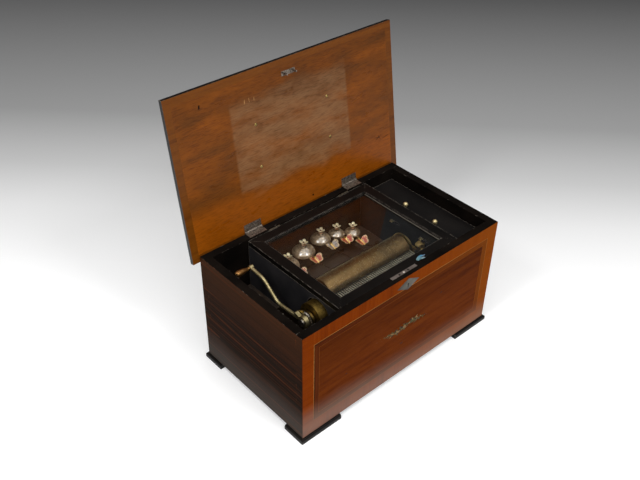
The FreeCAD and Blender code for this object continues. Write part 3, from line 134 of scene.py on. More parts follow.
class MusicBoxSizes(bpy.types.PropertyGroup):
    """Sizes of the banding, the inlay and the small pieces."""
    band_end: length("Crossband, ends", "Width of the crossband at the ends of a face", 25)
    band_top: length("Crossband, top", "Width of the crossband along the top of the front", 27.4)
    band_foot: length("Crossband, foot", "Width of the crossband along the foot of the front", 29.6)
    string: length("Stringing", "Width of the pale line inside the crossband", 1.1)
    dark_line: length("Dark line", "Width of the dark line inside the stringing", 1.5)
    margin: length("Margin", "Width of the plain strip between the two lines", 9.5)
    inner_string: length("Inner line", "Width of the faint inner line", 0.8)
    veneer_proud: length("Inlay height", "How far inlaid strips stand out of the veneer", 0.12)
    spray_span: length("Spray span", "Length of the floral spray on the front", 146)
    spray_height: length("Spray height", "Height of the floral spray on the front", 26)
    spray_middle: length("Spray place", "Height of the spray's middle above the foot of the case", 120.5)
    # The putty line also serves as a painted highlight along the glazing bead's edge.
    putty: length("Putty", "Width of the putty line along the glass", 1.3)
    glass_lap: length("Glass lap", "How far the glass goes in under the rails", 4.8)
    pin: length("Pin height", "How far the tune pins stand out of the cylinder", 0.9)
    pin_thick: length("Pin thickness", "Thickness of a tune pin at its root", 0.7)
    finial: length("Finial reach", "How far a petal of a bell finial reaches from its stem", 9)
    ribbon: length("Ribbon width", "Width of the silk of the ribbon pull", 10.2)


class MusicBoxTints(bpy.types.PropertyGroup):
    """Colours of the finishes under plain light."""
    front: tint("Front veneer", "Main tone of the front's veneer", "#5C2808")
    front_dark: tint("Front streaks", "Dark figure of the front's veneer", "#4C2008")
    front_light: tint("Front lights", "Light figure of the front's veneer", "#642F0B")
    side: tint("End veneer", "Main tone of the end veneer", "#20140C")
    side_dark: tint("End streaks", "Dark figure of the end veneer", "#18100A")
    side_warm: tint("End warmth", "Light figure of the end veneer", "#2F1A0F")
    side_light: tint("End lights", "Red brown lines of the end veneer", "#4E2612")
    band: tint("Crossband", "Main tone of the crossband", "#742F03")
    string: tint("Boxwood", "Stringing of boxwood", "#966230")
    black: tint("Ebonised wood", "Black stain and polish on the inside and the rim", "#13100E")
    worn: tint("Worn edge", "Bare wood where the black is rubbed off", "#7C746A")
    lid: tint("Lid varnish", "Main tone of the varnish inside the lid", "#78400A")
    lid_dark: tint("Lid grain", "Dark clouds inside the lid", "#65380D")
    lid_ghost: tint("Lid ghost", "Pale patch where a tune sheet was pinned", "#8A6442")
    brass: tint("Brass", "Polished brass", "#B9A064")
    brass_dull: tint("Brass tarnish", "Olive tarnish on old brass", "#6E5A2A")
    copper: tint("Copper", "Grip of the winding lever", "#9A7446")
    nickel: tint("Nickel", "Plating of the bells", "#A08B70")
    steel: tint("Steel", "Comb, screws and hinges", "#9A938A")
    leaf: tint("Leaf", "Stained leaves of the spray", "#4C4822")
    petal: tint("Petal", "Pale petals of the spray", "#886A40")
    wing_red: tint("Red enamel", "Cells of the butterflies' wings", "#A2341E")
    wing_cream: tint("Cream enamel", "Ground of the butterflies' wings", "#B4986C")
    silk: tint("Silk", "The ribbon pull", "#3C80A2")


class MusicBoxStage(bpy.types.PropertyGroup):
    """The camera and the light."""
    place: bpy.props.FloatVectorProperty(
        name="Camera place", description="Where the camera stands", subtype="TRANSLATION",
        unit="LENGTH", default=(-0.87338, -0.90228, 1.18494))
    azimuth: angle("Azimuth", "Turn of the camera round the box", -42.06)
    elevation: angle("Elevation", "How far the camera looks down", 37.15)
    roll: angle("Roll", "Lean of the camera", 0.77)
    lens: bpy.props.FloatProperty(name="Lens", description="Focal length on a 36 mm sensor",
                                  default=46.19, unit="CAMERA")
    lean: angle("Paper lean", "Turn of the paper's shading from the camera's line", -3)
    sky: bpy.props.FloatProperty(name="Room", description="Strength of the light round the camera",
                                 default=0.8)
    key: bpy.props.FloatProperty(name="Overhead panel", description="Power of the large overhead light",
                                 default=71, unit="POWER")
    fill: bpy.props.FloatProperty(name="Softboxes", description="Power of each small front light",
                                  default=12, unit="POWER")


# Material nodes

def add(tree, kind, inputs=None, take=None, stops=None, **settings):
    """Adds a shader node with its settings, links and colour stops, and returns one of its outputs."""
    node = tree.nodes.new("ShaderNode" + kind)
    for name, value in settings.items():
        setattr(node, name, value)
    for key, value in (inputs or {}).items():
        named = [socket for socket in node.inputs if socket.name == key and socket.enabled]
        socket = named[0] if named else node.inputs[key]
        if isinstance(value, bpy.types.NodeSocket):
            tree.links.new(value, socket)
        elif socket.type == "RGBA":
            socket.default_value = (*value, 1)
        else:
            socket.default_value = value
    if stops:
        while len(node.color_ramp.elements) < len(stops):
            node.color_ramp.elements.new(1)
        for element, (position, colour) in zip(node.color_ramp.elements, stops):
            element.position = position
            element.color = (*colour, 1)
    outputs = [socket for socket in node.outputs if socket.enabled and take in (None, socket.name)]
    return outputs[0] if outputs else None


WHITE = (1, 1, 1)


def new_material(name):
    """An empty material and its node tree."""
    material = bpy.data.materials.new(name)
    material.use_nodes = True
    material.node_tree.nodes.clear()
    return material, material.node_tree


def finish_material(tree, **sockets):
    """Ends a material in a Principled shader. Sockets are given by their names with underscores."""
    inputs = {name.replace("_", " "): value for name, value in sockets.items()}
    add(tree, "OutputMaterial", {"Surface": add(tree, "BsdfPrincipled", inputs)})


def per_mm(mm):
    """The texture scale at which one cell is so many millimetres wide."""
    return 1 / (mm * MM)


def grain(tree, place, along, width, tones, pitting=0.8, draw=28):
    """Colour and height of a board whose fibres run along one axis: figure, fine lines and pores."""
    stretch = [per_mm(width)] * 3
    stretch[along] = per_mm(width * draw)
    fibre = add(tree, "Mapping", {"Vector": place, "Scale": stretch})
    figure = add(tree, "TexNoise", {"Vector": fibre, "Scale": 0.35, "Detail": 3, "Distortion": 0.5})
    lines = add(tree, "TexNoise", {"Vector": fibre, "Scale": 1.6, "Detail": 6, "Roughness": 0.7})
    pores = add(tree, "TexNoise", {"Vector": fibre, "Scale": 6, "Detail": 2})
    blend = add(tree, "Mix", {"Factor": 0.45, "A": figure, "B": lines}, data_type="FLOAT")
    dark, middle, light = tones
    colour = add(tree, "ValToRGB", {"Fac": blend},
                 stops=[(0.36, dark), (0.5, middle), (0.66, light)])
    pitted = add(tree, "ValToRGB", {"Fac": pores}, stops=[(0.3, (0.55, 0.5, 0.48)), (0.46, WHITE)])
    colour = add(tree, "Mix", {"Factor": pitting, "A": colour, "B": pitted},
                 data_type="RGBA", blend_type="MULTIPLY")
    return colour, pores


def growth_lines(tree, place, along, colour, line, amount):
    """Draws thin, unevenly spaced growth lines along the fibres over a colour."""
    # Size in mm of a patch of lines across and along the fibres, and how many lines it holds
    wide, long, count = 34, 5000, 21
    stretch = [per_mm(wide)] * 3
    stretch[along] = per_mm(long)
    field = add(tree, "Mapping", {"Vector": place, "Scale": stretch})
    field = add(tree, "TexNoise", {"Vector": field, "Scale": 1, "Detail": 1})
    rings = add(tree, "Math", {0: field, 1: count}, operation="MULTIPLY")
    rings = add(tree, "Math", {0: rings}, operation="FRACT")
    lines = add(tree, "MapRange", {"Value": rings, "From Max": 0.2, "To Min": amount, "To Max": 0})
    return add(tree, "Mix", {"Factor": lines, "A": colour, "B": line}, data_type="RGBA")


def edge_wear(tree, place, reach, amount):
    """1 on the rubbed and chipped edges of a piece, 0 on its flats."""
    rounded = add(tree, "Bevel", {"Radius": reach * MM}, samples=6)
    flat = add(tree, "NewGeometry", take="Normal")
    bend = add(tree, "VectorMath", {0: rounded, 1: flat}, operation="DOT_PRODUCT")
    edge = add(tree, "MapRange", {"Value": bend, "From Min": 0.995, "From Max": 0.86})
    chips = add(tree, "TexNoise", {"Vector": place, "Scale": per_mm(9), "Detail": 5, "Roughness": 0.7})
    chips = add(tree, "MapRange", {"Value": chips, "From Min": 0.62 - amount, "From Max": 0.72 - amount})
    return add(tree, "Math", {0: edge, 1: chips}, operation="MULTIPLY")


def facing(tree, direction, turned=None):
    """1 where a face looks along a direction, 0 elsewhere. Turned undoes the lid's opening."""
    normal = add(tree, "TexCoord", take="Normal")
    if turned is not None:
        normal = add(tree, "VectorRotate", {"Vector": normal, "Axis": lid_axis, "Angle": turned})
    along = add(tree, "VectorMath", {0: normal, 1: direction}, operation="DOT_PRODUCT")
    return add(tree, "Math", {0: along, 1: 0.7}, operation="GREATER_THAN")


# Woods

def black_wood(tree, place, shade, worn=0.14):
    """Colour of ebonised wood: an uneven black stain, rubbed to bare wood on the edges."""
    tints = bpy.context.scene.music_box_tints
    cloud = add(tree, "TexNoise", {"Vector": place, "Scale": per_mm(60), "Detail": 4})
    cloud = add(tree, "ValToRGB", {"Fac": cloud}, stops=[(0.35, (0.6, 0.6, 0.6)), (0.7, (1.3, 1.2, 1.1))])
    colour = add(tree, "Mix", {"Factor": 1, "A": shade, "B": cloud}, data_type="RGBA",
                 blend_type="MULTIPLY")
    wear = edge_wear(tree, place, 1.5, worn)
    return add(tree, "Mix", {"Factor": wear, "A": colour, "B": tints.worn}, data_type="RGBA")


def ebonised_wood(name, shade, worn=0.14):
    """Wood stained and shellacked, or distempered: near black, a soft gloss and pale rubbed edges."""
    material, tree = new_material(name)
    place = add(tree, "TexCoord", take="Object")
    fibre = add(tree, "Mapping", {"Vector": place, "Scale": (per_mm(20), per_mm(1.2), per_mm(1.2))})
    pores = add(tree, "TexNoise", {"Vector": fibre, "Scale": 1, "Detail": 4})
    bump = add(tree, "Bump", {"Height": pores, "Distance": 0.05 * MM, "Strength": 0.5})
    rough = add(tree, "MapRange", {"Value": pores, "To Min": 0.28, "To Max": 0.5})
    finish_material(tree, Base_Color=black_wood(tree, place, shade, worn), Roughness=rough, Normal=bump,
                    Specular_IOR_Level=0.1)
    return material


# The painted floor reflection's strength and colour on the front and on the ends, and the width of the ends'
# figure in mm
FRONT_REFLECTION, END_REFLECTION = (0.105, "#DEF8EE"), (0.05, "#F0EAE2")
END_FIGURE = 3.2


def painted_floor_reflection(tree, place, colour, floor_reflection=FRONT_REFLECTION):
    """Adds a painted reflection of the pale floor at the foot of the case, higher on the left."""
    most, reflected_tint = floor_reflection
    height = add(tree, "VectorMath", {0: place, 1: (0.055, 0, 1)}, operation="DOT_PRODUCT")
    cloud = add(tree, "TexNoise", {"Vector": place, "Scale": per_mm(70), "Detail": 2})
    cloud = add(tree, "MapRange", {"Value": cloud, "To Min": -10 * MM, "To Max": 10 * MM})
    height = add(tree, "Math", {0: height, 1: cloud}, operation="ADD")
    amount = add(tree, "MapRange", {"Value": height, "From Min": case_low.z + 72 * MM,
                                    "From Max": case_low.z - 4 * MM, "To Max": most},
                 interpolation_type="SMOOTHSTEP")
    return add(tree, "Mix", {"Factor": amount, "A": colour, "B": linear(reflected_tint)}, data_type="RGBA")


def end_veneer(tree, place, width):
    """Colour and pores of the end veneer: near black, with red lines, a little lighter along the top."""
    tints = bpy.context.scene.music_box_tints
    colour, pores = grain(tree, place, 1, width, [tints.side_dark, tints.side, tints.side_warm], 0.45)
    high = add(tree, "SeparateXYZ", {"Vector": place}, take="Z")
    high = add(tree, "MapRange", {"Value": high, "From Min": case_high.z - 85 * MM, "From Max": case_high.z,
                                  "To Max": 0.5})
    colour = add(tree, "Mix", {"Factor": high, "A": colour, "B": linear("#4A2C18")}, data_type="RGBA")
    return growth_lines(tree, place, 1, colour, tints.side_light, 0.8), pores


def veneered_wall(name, outward, along, width, tones, edge, line, knots=0.0):
    """Rosewood veneer, French polished, on a wall's outer faces: dark figure under a soft gloss."""
    tints = bpy.context.scene.music_box_tints
    material, tree = new_material(name)
    place = add(tree, "TexCoord", take="Object")
    if along == 1:
        colour, pores = end_veneer(tree, place, width)
    else:
        # The front's figure is mottled, so it is drawn out less than plain grain.
        colour, pores = grain(tree, place, along, width, tones, 0.45, 9 if knots else 28)
        colour = growth_lines(tree, place, along, colour, line, 0.25)
    if knots:
        # The colour is darker towards the top.
        height = add(tree, "SeparateXYZ", {"Vector": place}, take="Z")
        dusk = add(tree, "MapRange", {"Value": height, "From Min": 120 * MM, "From Max": 230 * MM,
                                      "To Min": 1.06, "To Max": 0.72})
        colour = add(tree, "Mix", {"Factor": 1, "A": colour, "B": dusk}, data_type="RGBA",
                     blend_type="MULTIPLY")
        # Small pin knots are scattered over the veneer.
        spots = add(tree, "TexVoronoi", {"Vector": place, "Scale": per_mm(95)})
        spots = add(tree, "MapRange", {"Value": spots, "From Min": 0.03, "From Max": 0.055,
                                       "To Min": knots, "To Max": 0})
        colour = add(tree, "Mix", {"Factor": spots, "A": colour, "B": linear("#1A0C06")}, data_type="RGBA")
    wear = edge_wear(tree, place, 1.3, 0.12)
    # A painted reflection of the pale floor lightens the foot of the wall.
    colour = painted_floor_reflection(tree, place, colour, END_REFLECTION if along else FRONT_REFLECTION)
    colour = add(tree, "Mix", {"Factor": wear, "A": colour, "B": edge}, data_type="RGBA")
    inside = black_wood(tree, place, tints.black, 0.06)
    if along == 0:
        # The veneer of the ends runs on over the end grain of the long walls.
        # The end grain also carries the painted floor reflection.
        end = painted_floor_reflection(tree, place, end_veneer(tree, place, END_FIGURE)[0], END_REFLECTION)
        for way in (X, -X):
            inside = add(tree, "Mix", {"Factor": facing(tree, way), "A": inside, "B": end},
                         data_type="RGBA")
    show = facing(tree, outward)
    colour = add(tree, "Mix", {"Factor": show, "A": inside, "B": colour}, data_type="RGBA")
    bump = add(tree, "Bump", {"Height": pores, "Distance": 0.03 * MM, "Strength": 0.35})
    rough = add(tree, "MapRange", {"Value": pores, "To Min": 0.22, "To Max": 0.4})
    finish_material(tree, Base_Color=colour, Roughness=rough, Normal=bump, Specular_IOR_Level=0.004)
    return material


def banding_wood(name, along, tones, width, fade=0.0):
    """Kingwood crossband, dark margin or boxwood line, polished flush. It may fade at the case's foot."""
    material, tree = new_material(name)
    place = add(tree, "TexCoord", take="Object")
    colour, pores = grain(tree, place, along, width, tones, 0.25)
    # The colour turns more orange towards the right.
    right = add(tree, "SeparateXYZ", {"Vector": place}, take="X")
    right = add(tree, "MapRange", {"Value": right, "From Min": -60 * MM, "From Max": 240 * MM,
                                   "To Max": 0.5})
    colour = add(tree, "Mix", {"Factor": right, "A": colour, "B": linear("#8A480A")}, data_type="RGBA")
    if fade:
        low = add(tree, "SeparateXYZ", {"Vector": place}, take="Z")
        low = add(tree, "MapRange", {"Value": low, "From Min": case_low.z + 90 * MM,
                                     "From Max": case_low.z + 30 * MM, "To Max": fade})
        colour = add(tree, "Mix", {"Factor": low, "A": colour, "B": linear("#622C0A")}, data_type="RGBA")
    # A painted reflection of the pale floor lightens the strips at the foot.
    colour = painted_floor_reflection(tree, place, colour)
    bump = add(tree, "Bump", {"Height": pores, "Distance": 0.03 * MM, "Strength": 0.3})
    finish_material(tree, Base_Color=colour, Roughness=0.3, Normal=bump, Specular_IOR_Level=0.004)
    return material


def pine_board():
    """Stained pine, left in the rough inside the case: brown, matt and open grained."""
    material, tree = new_material("stained pine, sawn")
    place = add(tree, "TexCoord", take="Object")
    tones = [linear("#160E08"), linear("#271A0D"), linear("#372614")]
    colour, pores = grain(tree, place, 0, 6, tones)
    bump = add(tree, "Bump", {"Height": pores, "Distance": 0.15 * MM, "Strength": 0.5})
    finish_material(tree, Base_Color=colour, Roughness=0.7, Normal=bump)
    return material


def lid_wood():
    """Mahogany lid: orange spirit varnish inside with the ghost of a lost tune sheet, veneer outside."""
    tints = bpy.context.scene.music_box_tints
    material, tree = new_material("mahogany, spirit varnished")
    place = add(tree, "TexCoord", take="Object")
    shut = add(tree, "VectorRotate", {"Vector": place, "Center": lid_pin, "Axis": lid_axis,
                                      "Angle": -lid_angle})
    drawn = add(tree, "Mapping", {"Vector": shut, "Scale": (0.6, 1.5, 1.5)})
    cloud = add(tree, "TexNoise", {"Vector": drawn, "Scale": per_mm(75), "Detail": 4, "Distortion": 0.4})
    colour = add(tree, "ValToRGB", {"Fac": cloud},
                 stops=[(0.36, tints.lid_dark), (0.52, tints.lid), (0.66, linear("#8A4A0C"))])
    stain = add(tree, "TexNoise", {"Vector": drawn, "Scale": per_mm(34), "Detail": 6, "Roughness": 0.6})
    # The inside is brightest in a wavy strip along the hinge and darkest at the far edge.
    wave = add(tree, "MapRange", {"Value": cloud, "From Min": 0.3, "From Max": 0.7,
                                  "To Min": -13 * MM, "To Max": 13 * MM})
    out = add(tree, "SeparateXYZ", {"Vector": shut}, take="Y")
    out = add(tree, "Math", {0: lid_pin.y, 1: out}, operation="SUBTRACT")
    waved = add(tree, "Math", {0: out, 1: wave}, operation="ADD")
    strip = add(tree, "MapRange", {"Value": waved, "From Min": 88 * MM, "From Max": 60 * MM, "To Max": 0.8})
    colour = add(tree, "Mix", {"Factor": strip, "A": colour, "B": linear("#924B06")}, data_type="RGBA")
    # The ghost runs from about 74 to 247 mm out from the hinge and 275 mm along it.
    across = add(tree, "SeparateXYZ", {"Vector": shut}, take="X")
    along = add(tree, "Math", {0: across}, operation="ABSOLUTE")
    ends = add(tree, "MapRange", {"Value": along, "From Min": 140 * MM, "From Max": 135 * MM})
    far = add(tree, "MapRange", {"Value": waved, "From Min": 262 * MM, "From Max": 232 * MM})
    near = add(tree, "MapRange", {"Value": waved, "From Min": 67 * MM, "From Max": 80 * MM})
    ghost = add(tree, "Math", {0: ends, 1: far}, operation="MULTIPLY")
    ghost = add(tree, "Math", {0: ghost, 1: near}, operation="MULTIPLY")
    uneven = add(tree, "MapRange", {"Value": stain, "From Min": 0.38, "From Max": 0.62,
                                    "To Min": 0.27, "To Max": 0.76})
    ghost = add(tree, "Math", {0: ghost, 1: uneven}, operation="MULTIPLY")
    colour = add(tree, "Mix", {"Factor": ghost, "A": colour, "B": tints.lid_ghost}, data_type="RGBA")
    fibre = add(tree, "Mapping", {"Vector": shut, "Scale": (per_mm(16), per_mm(1.5), per_mm(1.5))})
    pores = add(tree, "TexNoise", {"Vector": fibre, "Scale": 1, "Detail": 4, "Roughness": 0.6})
    dashes = add(tree, "ValToRGB", {"Fac": pores}, stops=[(0.36, (0.5, 0.43, 0.36)), (0.52, WHITE)])
    blotch = add(tree, "ValToRGB", {"Fac": stain}, stops=[(0.34, (0.7, 0.66, 0.6)), (0.56, WHITE)])
    for shade, amount in ((dashes, 0.7), (blotch, 0.34)):
        colour = add(tree, "Mix", {"Factor": amount, "A": colour, "B": shade}, data_type="RGBA",
                     blend_type="MULTIPLY")
    slant = add(tree, "Math", {0: across, 1: 0.16, 2: out}, operation="MULTIPLY_ADD")
    dim = add(tree, "MapRange", {"Value": slant, "From Min": 150 * MM, "From Max": 300 * MM,
                                 "To Min": 0.98, "To Max": 0.72})
    colour = add(tree, "Mix", {"Factor": 1, "A": colour, "B": dim}, data_type="RGBA", blend_type="MULTIPLY")
    top = grain(tree, shut, 0, 6, [tints.front_dark, tints.front, tints.front_light])[0]
    outer = facing(tree, Z, -lid_angle)
    colour = add(tree, "Mix", {"Factor": outer, "A": colour, "B": top}, data_type="RGBA")
    bump = add(tree, "Bump", {"Height": pores, "Distance": 0.04 * MM, "Strength": 0.35})
    rough = add(tree, "MapRange", {"Value": stain, "To Min": 0.2, "To Max": 0.4})
    finish_material(tree, Base_Color=colour, Roughness=rough, Normal=bump, Specular_IOR_Level=0.12)
    return material


def moulding_wood():
    """Lid moulding: ebonised outside, the lid's orange varnish on the under side."""
    tints = bpy.context.scene.music_box_tints
    material, tree = new_material("ebonised and varnished moulding")
    place = add(tree, "TexCoord", take="Object")
    colour, pores = grain(tree, place, 0, 2.6, [linear("#5A2E08"), linear("#683809"), linear("#703E0C")])
    under = facing(tree, -Z, -lid_angle)
    colour = add(tree, "Mix", {"Factor": under, "A": black_wood(tree, place, tints.black), "B": colour},
                 data_type="RGBA")
    bump = add(tree, "Bump", {"Height": pores, "Distance": 0.04 * MM, "Strength": 0.3})
    finish_material(tree, Base_Color=colour, Roughness=0.25, Normal=bump, Specular_IOR_Level=0.12)
    return material


def stained_inlay(name, colour):
    """Stained sycamore inlay, also for knots, scratches and the painted shade of holes: an even tint with
    faint mottling.
    """
    material, tree = new_material(name)
    place = add(tree, "TexCoord", take="Object")
    shade = add(tree, "TexNoise", {"Vector": place, "Scale": per_mm(2.5), "Detail": 3})
    shade = add(tree, "ValToRGB", {"Fac": shade}, stops=[(0.3, (0.5, 0.44, 0.38)), (0.6, WHITE)])
    colour = add(tree, "Mix", {"Factor": 1, "A": colour, "B": shade}, data_type="RGBA",
                 blend_type="MULTIPLY")
    finish_material(tree, Base_Color=colour, Roughness=0.35, Specular_IOR_Level=0.05)
    return material


# Metals, glass, putty, enamel and silk

def metal(name, bright, dull, roughness, patch, brush=(1, 1, 1), spread=0.18, tips=None):
    """Old metal: bright where it is rubbed, dull in clouds, with fine tool marks along the brush.

    With tips it is a comb: painted shade darkens the faces of the sawn slits and the last stretch up to that
    Y.
    """
    material, tree = new_material(name)
    place = add(tree, "TexCoord", take="Object")
    cloud = add(tree, "TexNoise", {"Vector": place, "Scale": per_mm(patch), "Detail": 6, "Roughness": 0.62})
    marks = add(tree, "Mapping", {"Vector": place, "Scale": [per_mm(each) for each in brush]})
    marks = add(tree, "TexNoise", {"Vector": marks, "Scale": 1, "Detail": 3})
    colour = add(tree, "ValToRGB", {"Fac": cloud}, stops=[(0.36, bright), (0.66, dull)])
    if tips is not None:
        # Painted shade on the faces of the slits between the teeth.
        dark = linear("#12100C")
        for way in (X, -X):
            colour = add(tree, "Mix", {"Factor": facing(tree, way), "A": colour, "B": dark},
                         data_type="RGBA")
        # Painted shade on the last stretch of the teeth, next to the cylinder.
        ahead = add(tree, "MapRange", {"Value": add(tree, "SeparateXYZ", {"Vector": place}, take="Y"),
                                       "From Min": tips - 9 * MM, "From Max": tips - 2 * MM, "To Max": 0.9})
        colour = add(tree, "Mix", {"Factor": ahead, "A": colour, "B": linear("#2C2716")}, data_type="RGBA")
    both = add(tree, "Mix", {"Factor": 0.4, "A": cloud, "B": marks}, data_type="FLOAT")
    rough = add(tree, "MapRange", {"Value": both, "From Min": 0.3, "From Max": 0.7,
                                   "To Min": roughness, "To Max": roughness + spread})
    bump = add(tree, "Bump", {"Height": marks, "Distance": 0.02 * MM, "Strength": 0.4})
    finish_material(tree, Base_Color=colour, Metallic=1.0, Roughness=rough, Normal=bump)
    return material


def dulled_nickel():
    """Nickel plate dulled to an even grey gold, under thin lacquer that still gives small sharp lights."""
    tints = bpy.context.scene.music_box_tints
    material, tree = new_material("nickel plate, dulled, lacquered")
    place = add(tree, "TexCoord", take="Object")
    cloud = add(tree, "TexNoise", {"Vector": place, "Scale": per_mm(6), "Detail": 6, "Roughness": 0.65})
    colour = add(tree, "ValToRGB", {"Fac": cloud}, stops=[(0.34, tints.nickel), (0.68, linear("#6E5E48"))])
    # How far out from the nearest bell's middle, as a share of its rim. It starts beyond every rim.
    out = 9.0
    level = add(tree, "VectorMath", {0: place, 1: (1, 1, 0)}, operation="MULTIPLY")
    for middle, rim in bell_rims():
        away = add(tree, "VectorMath", {0: level, 1: (middle.x, middle.y, 0)}, take="Value",
                   operation="DISTANCE")
        away = add(tree, "Math", {0: away, 1: rim}, operation="DIVIDE")
        out = add(tree, "Math", {0: away, 1: out}, operation="MINIMUM")
    # Two turned rings run round every bell, at 0.42 and 0.74 of its rim. Beside them and round the neck the
    # colour is darkened as painted shade.
    heights = ((0.2, 0.2), (0.36, 0.5), (0.42, 1), (0.48, 0.2), (0.54, 0.5), (0.68, 0.5), (0.74, 1),
               (0.8, 0.3), (0.86, 0.5))
    ring = add(tree, "ValToRGB", {"Fac": out}, stops=[(at, [height] * 3) for at, height in heights])
    shade = add(tree, "MapRange", {"Value": ring, "From Min": 0.2, "From Max": 0.5, "To Min": 0.5})
    colour = add(tree, "Mix", {"Factor": 1, "A": colour, "B": shade}, data_type="RGBA",
                 blend_type="MULTIPLY")
    rough = add(tree, "MapRange", {"Value": cloud, "To Min": 0.58, "To Max": 0.76})
    bump = add(tree, "Bump", {"Height": ring, "Distance": 0.7 * MM, "Strength": 0.8})
    finish_material(tree, Base_Color=colour, Metallic=1.0, Roughness=rough, Normal=bump, Coat_Weight=1.0,
                    Coat_Roughness=0.13, Coat_IOR=2.2)
    return material


def gilt_striker(name, root):
    """Fire gilt brass on the butterfly and its striking head, blackened steel on the arm behind its root."""
    material, tree = new_material(name)
    place = add(tree, "TexCoord", take="Object")
    cloud = add(tree, "TexNoise", {"Vector": place, "Scale": per_mm(5), "Detail": 4})
    gilt = add(tree, "ValToRGB", {"Fac": cloud},
               stops=[(0.36, linear("#E8C67C")), (0.66, linear("#A27C3A"))])
    ahead = add(tree, "SeparateXYZ", {"Vector": place}, take="Y")
    ahead = add(tree, "Math", {0: ahead, 1: root}, operation="GREATER_THAN")
    colour = add(tree, "Mix", {"Factor": ahead, "A": linear("#3A322A"), "B": gilt}, data_type="RGBA")
    finish_material(tree, Base_Color=colour, Metallic=1.0, Roughness=0.32)
    return material


def window_glass():
    """Window glass: clear, with sharp reflections. Shadow rays pass, so the movement stays lit."""
    material, tree = new_material("window glass, clear")
    glass = add(tree, "BsdfPrincipled", {"Base Color": (0.97, 0.98, 0.975), "Roughness": 0.0, "IOR": 1.45,
                                         "Transmission Weight": 1.0})
    clear = add(tree, "BsdfTransparent")
    shadow = add(tree, "LightPath", take="Is Shadow Ray")
    both = add(tree, "MixShader", {0: shadow, 1: glass, 2: clear})
    add(tree, "OutputMaterial", {"Surface": both})
    return material


def putty_with_painted_highlight():
    """Linseed putty, dried: a grey, matt, crumbly line that also serves as a painted highlight along the
    bead's edge.
    """
    material, tree = new_material("linseed putty, dried, with painted highlight")
    place = add(tree, "TexCoord", take="Object")
    crumbs = add(tree, "TexNoise", {"Vector": place, "Scale": per_mm(1.5), "Detail": 4})
    colour = add(tree, "ValToRGB", {"Fac": crumbs},
                 stops=[(0.3, linear("#423E36")), (0.65, linear("#726C60"))])
    bump = add(tree, "Bump", {"Height": crumbs, "Distance": 0.1 * MM, "Strength": 0.6})
    finish_material(tree, Base_Color=colour, Roughness=0.8, Normal=bump)
    return material


def enamel(name, colour):
    """Fired enamel: a flat colour with faint speckle under a glassy skin."""
    material, tree = new_material(name)
    place = add(tree, "TexCoord", take="Object")
    speck = add(tree, "TexNoise", {"Vector": place, "Scale": per_mm(2.4), "Detail": 3})
    speck = add(tree, "ValToRGB", {"Fac": speck}, stops=[(0.36, (0.4, 0.34, 0.28)), (0.58, WHITE)])
    colour = add(tree, "Mix", {"Factor": 0.85, "A": colour, "B": speck}, data_type="RGBA",
                 blend_type="MULTIPLY")
    finish_material(tree, Base_Color=colour, Roughness=0.3, Coat_Weight=0.4, Coat_Roughness=0.08)
    return material


def ribbed_silk():
    """Grosgrain silk, faded: fine ribs across the ribbon and a soft sheen."""
    tints = bpy.context.scene.music_box_tints
    material, tree = new_material("grosgrain silk, faded")
    place = add(tree, "TexCoord", take="UV")
    # Ribs are 0.8 mm apart, twice the real spacing, so that they show.
    ribs = add(tree, "TexWave", {"Vector": place, "Scale": per_mm(0.8) / 20, "Distortion": 0.4})
    # The silk has faded from blue to green and grey towards its ends.
    along = add(tree, "SeparateXYZ", {"Vector": place}, take="X")
    along = add(tree, "MapRange", {"Value": along, "From Max": 46 * MM})
    colour = add(tree, "ValToRGB", {"Fac": along},
                 stops=[(0.0, linear("#8498A0")), (0.25, linear("#4C7A80")), (0.5, linear("#6E929A")),
                        (0.72, tints.silk), (1.0, linear("#8C94B4"))])
    fade = add(tree, "TexNoise", {"Vector": place, "Scale": per_mm(4), "Detail": 4})
    fade = add(tree, "ValToRGB", {"Fac": fade}, stops=[(0.35, (0.35, 0.4, 0.42)), (0.6, WHITE)])
    colour = add(tree, "Mix", {"Factor": 0.8, "A": colour, "B": fade}, data_type="RGBA",
                 blend_type="MULTIPLY")
    bump = add(tree, "Bump", {"Height": ribs, "Distance": 0.1 * MM, "Strength": 0.5})
    finish_material(tree, Base_Color=colour, Roughness=0.55, Normal=bump, Sheen_Weight=0.5,
                    Sheen_Roughness=0.4)
    return material


# Mesh helpers

def slab(shape, face, outline, proud, material=0, sunk=0.3 * MM):
    """A flat plate of any outline on a face, from a little below it to a little above."""
    top = [shape.verts.new(face @ Vector((u, v, proud))) for u, v in outline]
    base = [shape.verts.new(face @ Vector((u, v, -sunk))) for u, v in outline]
    faces = [shape.faces.new(top), shape.faces.new(base[::-1])]
    for k in range(len(outline)):
        n = (k + 1) % len(outline)
        faces.append(shape.faces.new((base[k], base[n], top[n], top[k])))
    for each in faces:
        each.material_index = material


def mitred_frame(shape, face, outer, inner, proud, sides=(0, 1, 2, 3)):
    """Strips with mitred corners between two rectangles. Level strips take material 0, uprights 1."""
    rings = [((u0, v0), (u1, v0), (u1, v1), (u0, v1)) for u0, v0, u1, v1 in (outer, inner)]
    for k in sides:
        n = (k + 1) % 4
        slab(shape, face, (rings[0][k], rings[0][n], rings[1][n], rings[1][k]), proud, k % 2)


def inset(rectangle, by):
    """A rectangle drawn in by the same amount on every side."""
    u0, v0, u1, v1 = rectangle
    return u0 + by, v0 + by, u1 - by, v1 - by


def leaf(shape, face, root, turn, long, wide, proud, material=0, steps=5):
    """A pointed leaf from its root, with sides that swell to the middle."""
    edge = [(long * k / steps, wide / 2 * math.sin(math.pi * k / steps) ** 0.8) for k in range(steps + 1)]
    ring = [(a, -b) for a, b in edge] + [(a, b) for a, b in edge[-2:0:-1]]
    c, s = math.cos(turn), math.sin(turn)
    outline = [(root[0] + c * a - s * b, root[1] + s * a + c * b) for a, b in ring]
    slab(shape, face, outline, proud, material)


def disc(shape, face, middle, radius, proud, material=0, sides=10):
    """A small round plate."""
    turns = [2 * math.pi * k / sides for k in range(sides)]
    slab(shape, face, [(middle[0] + radius * math.cos(t), middle[1] + radius * math.sin(t)) for t in turns],
         proud, material)


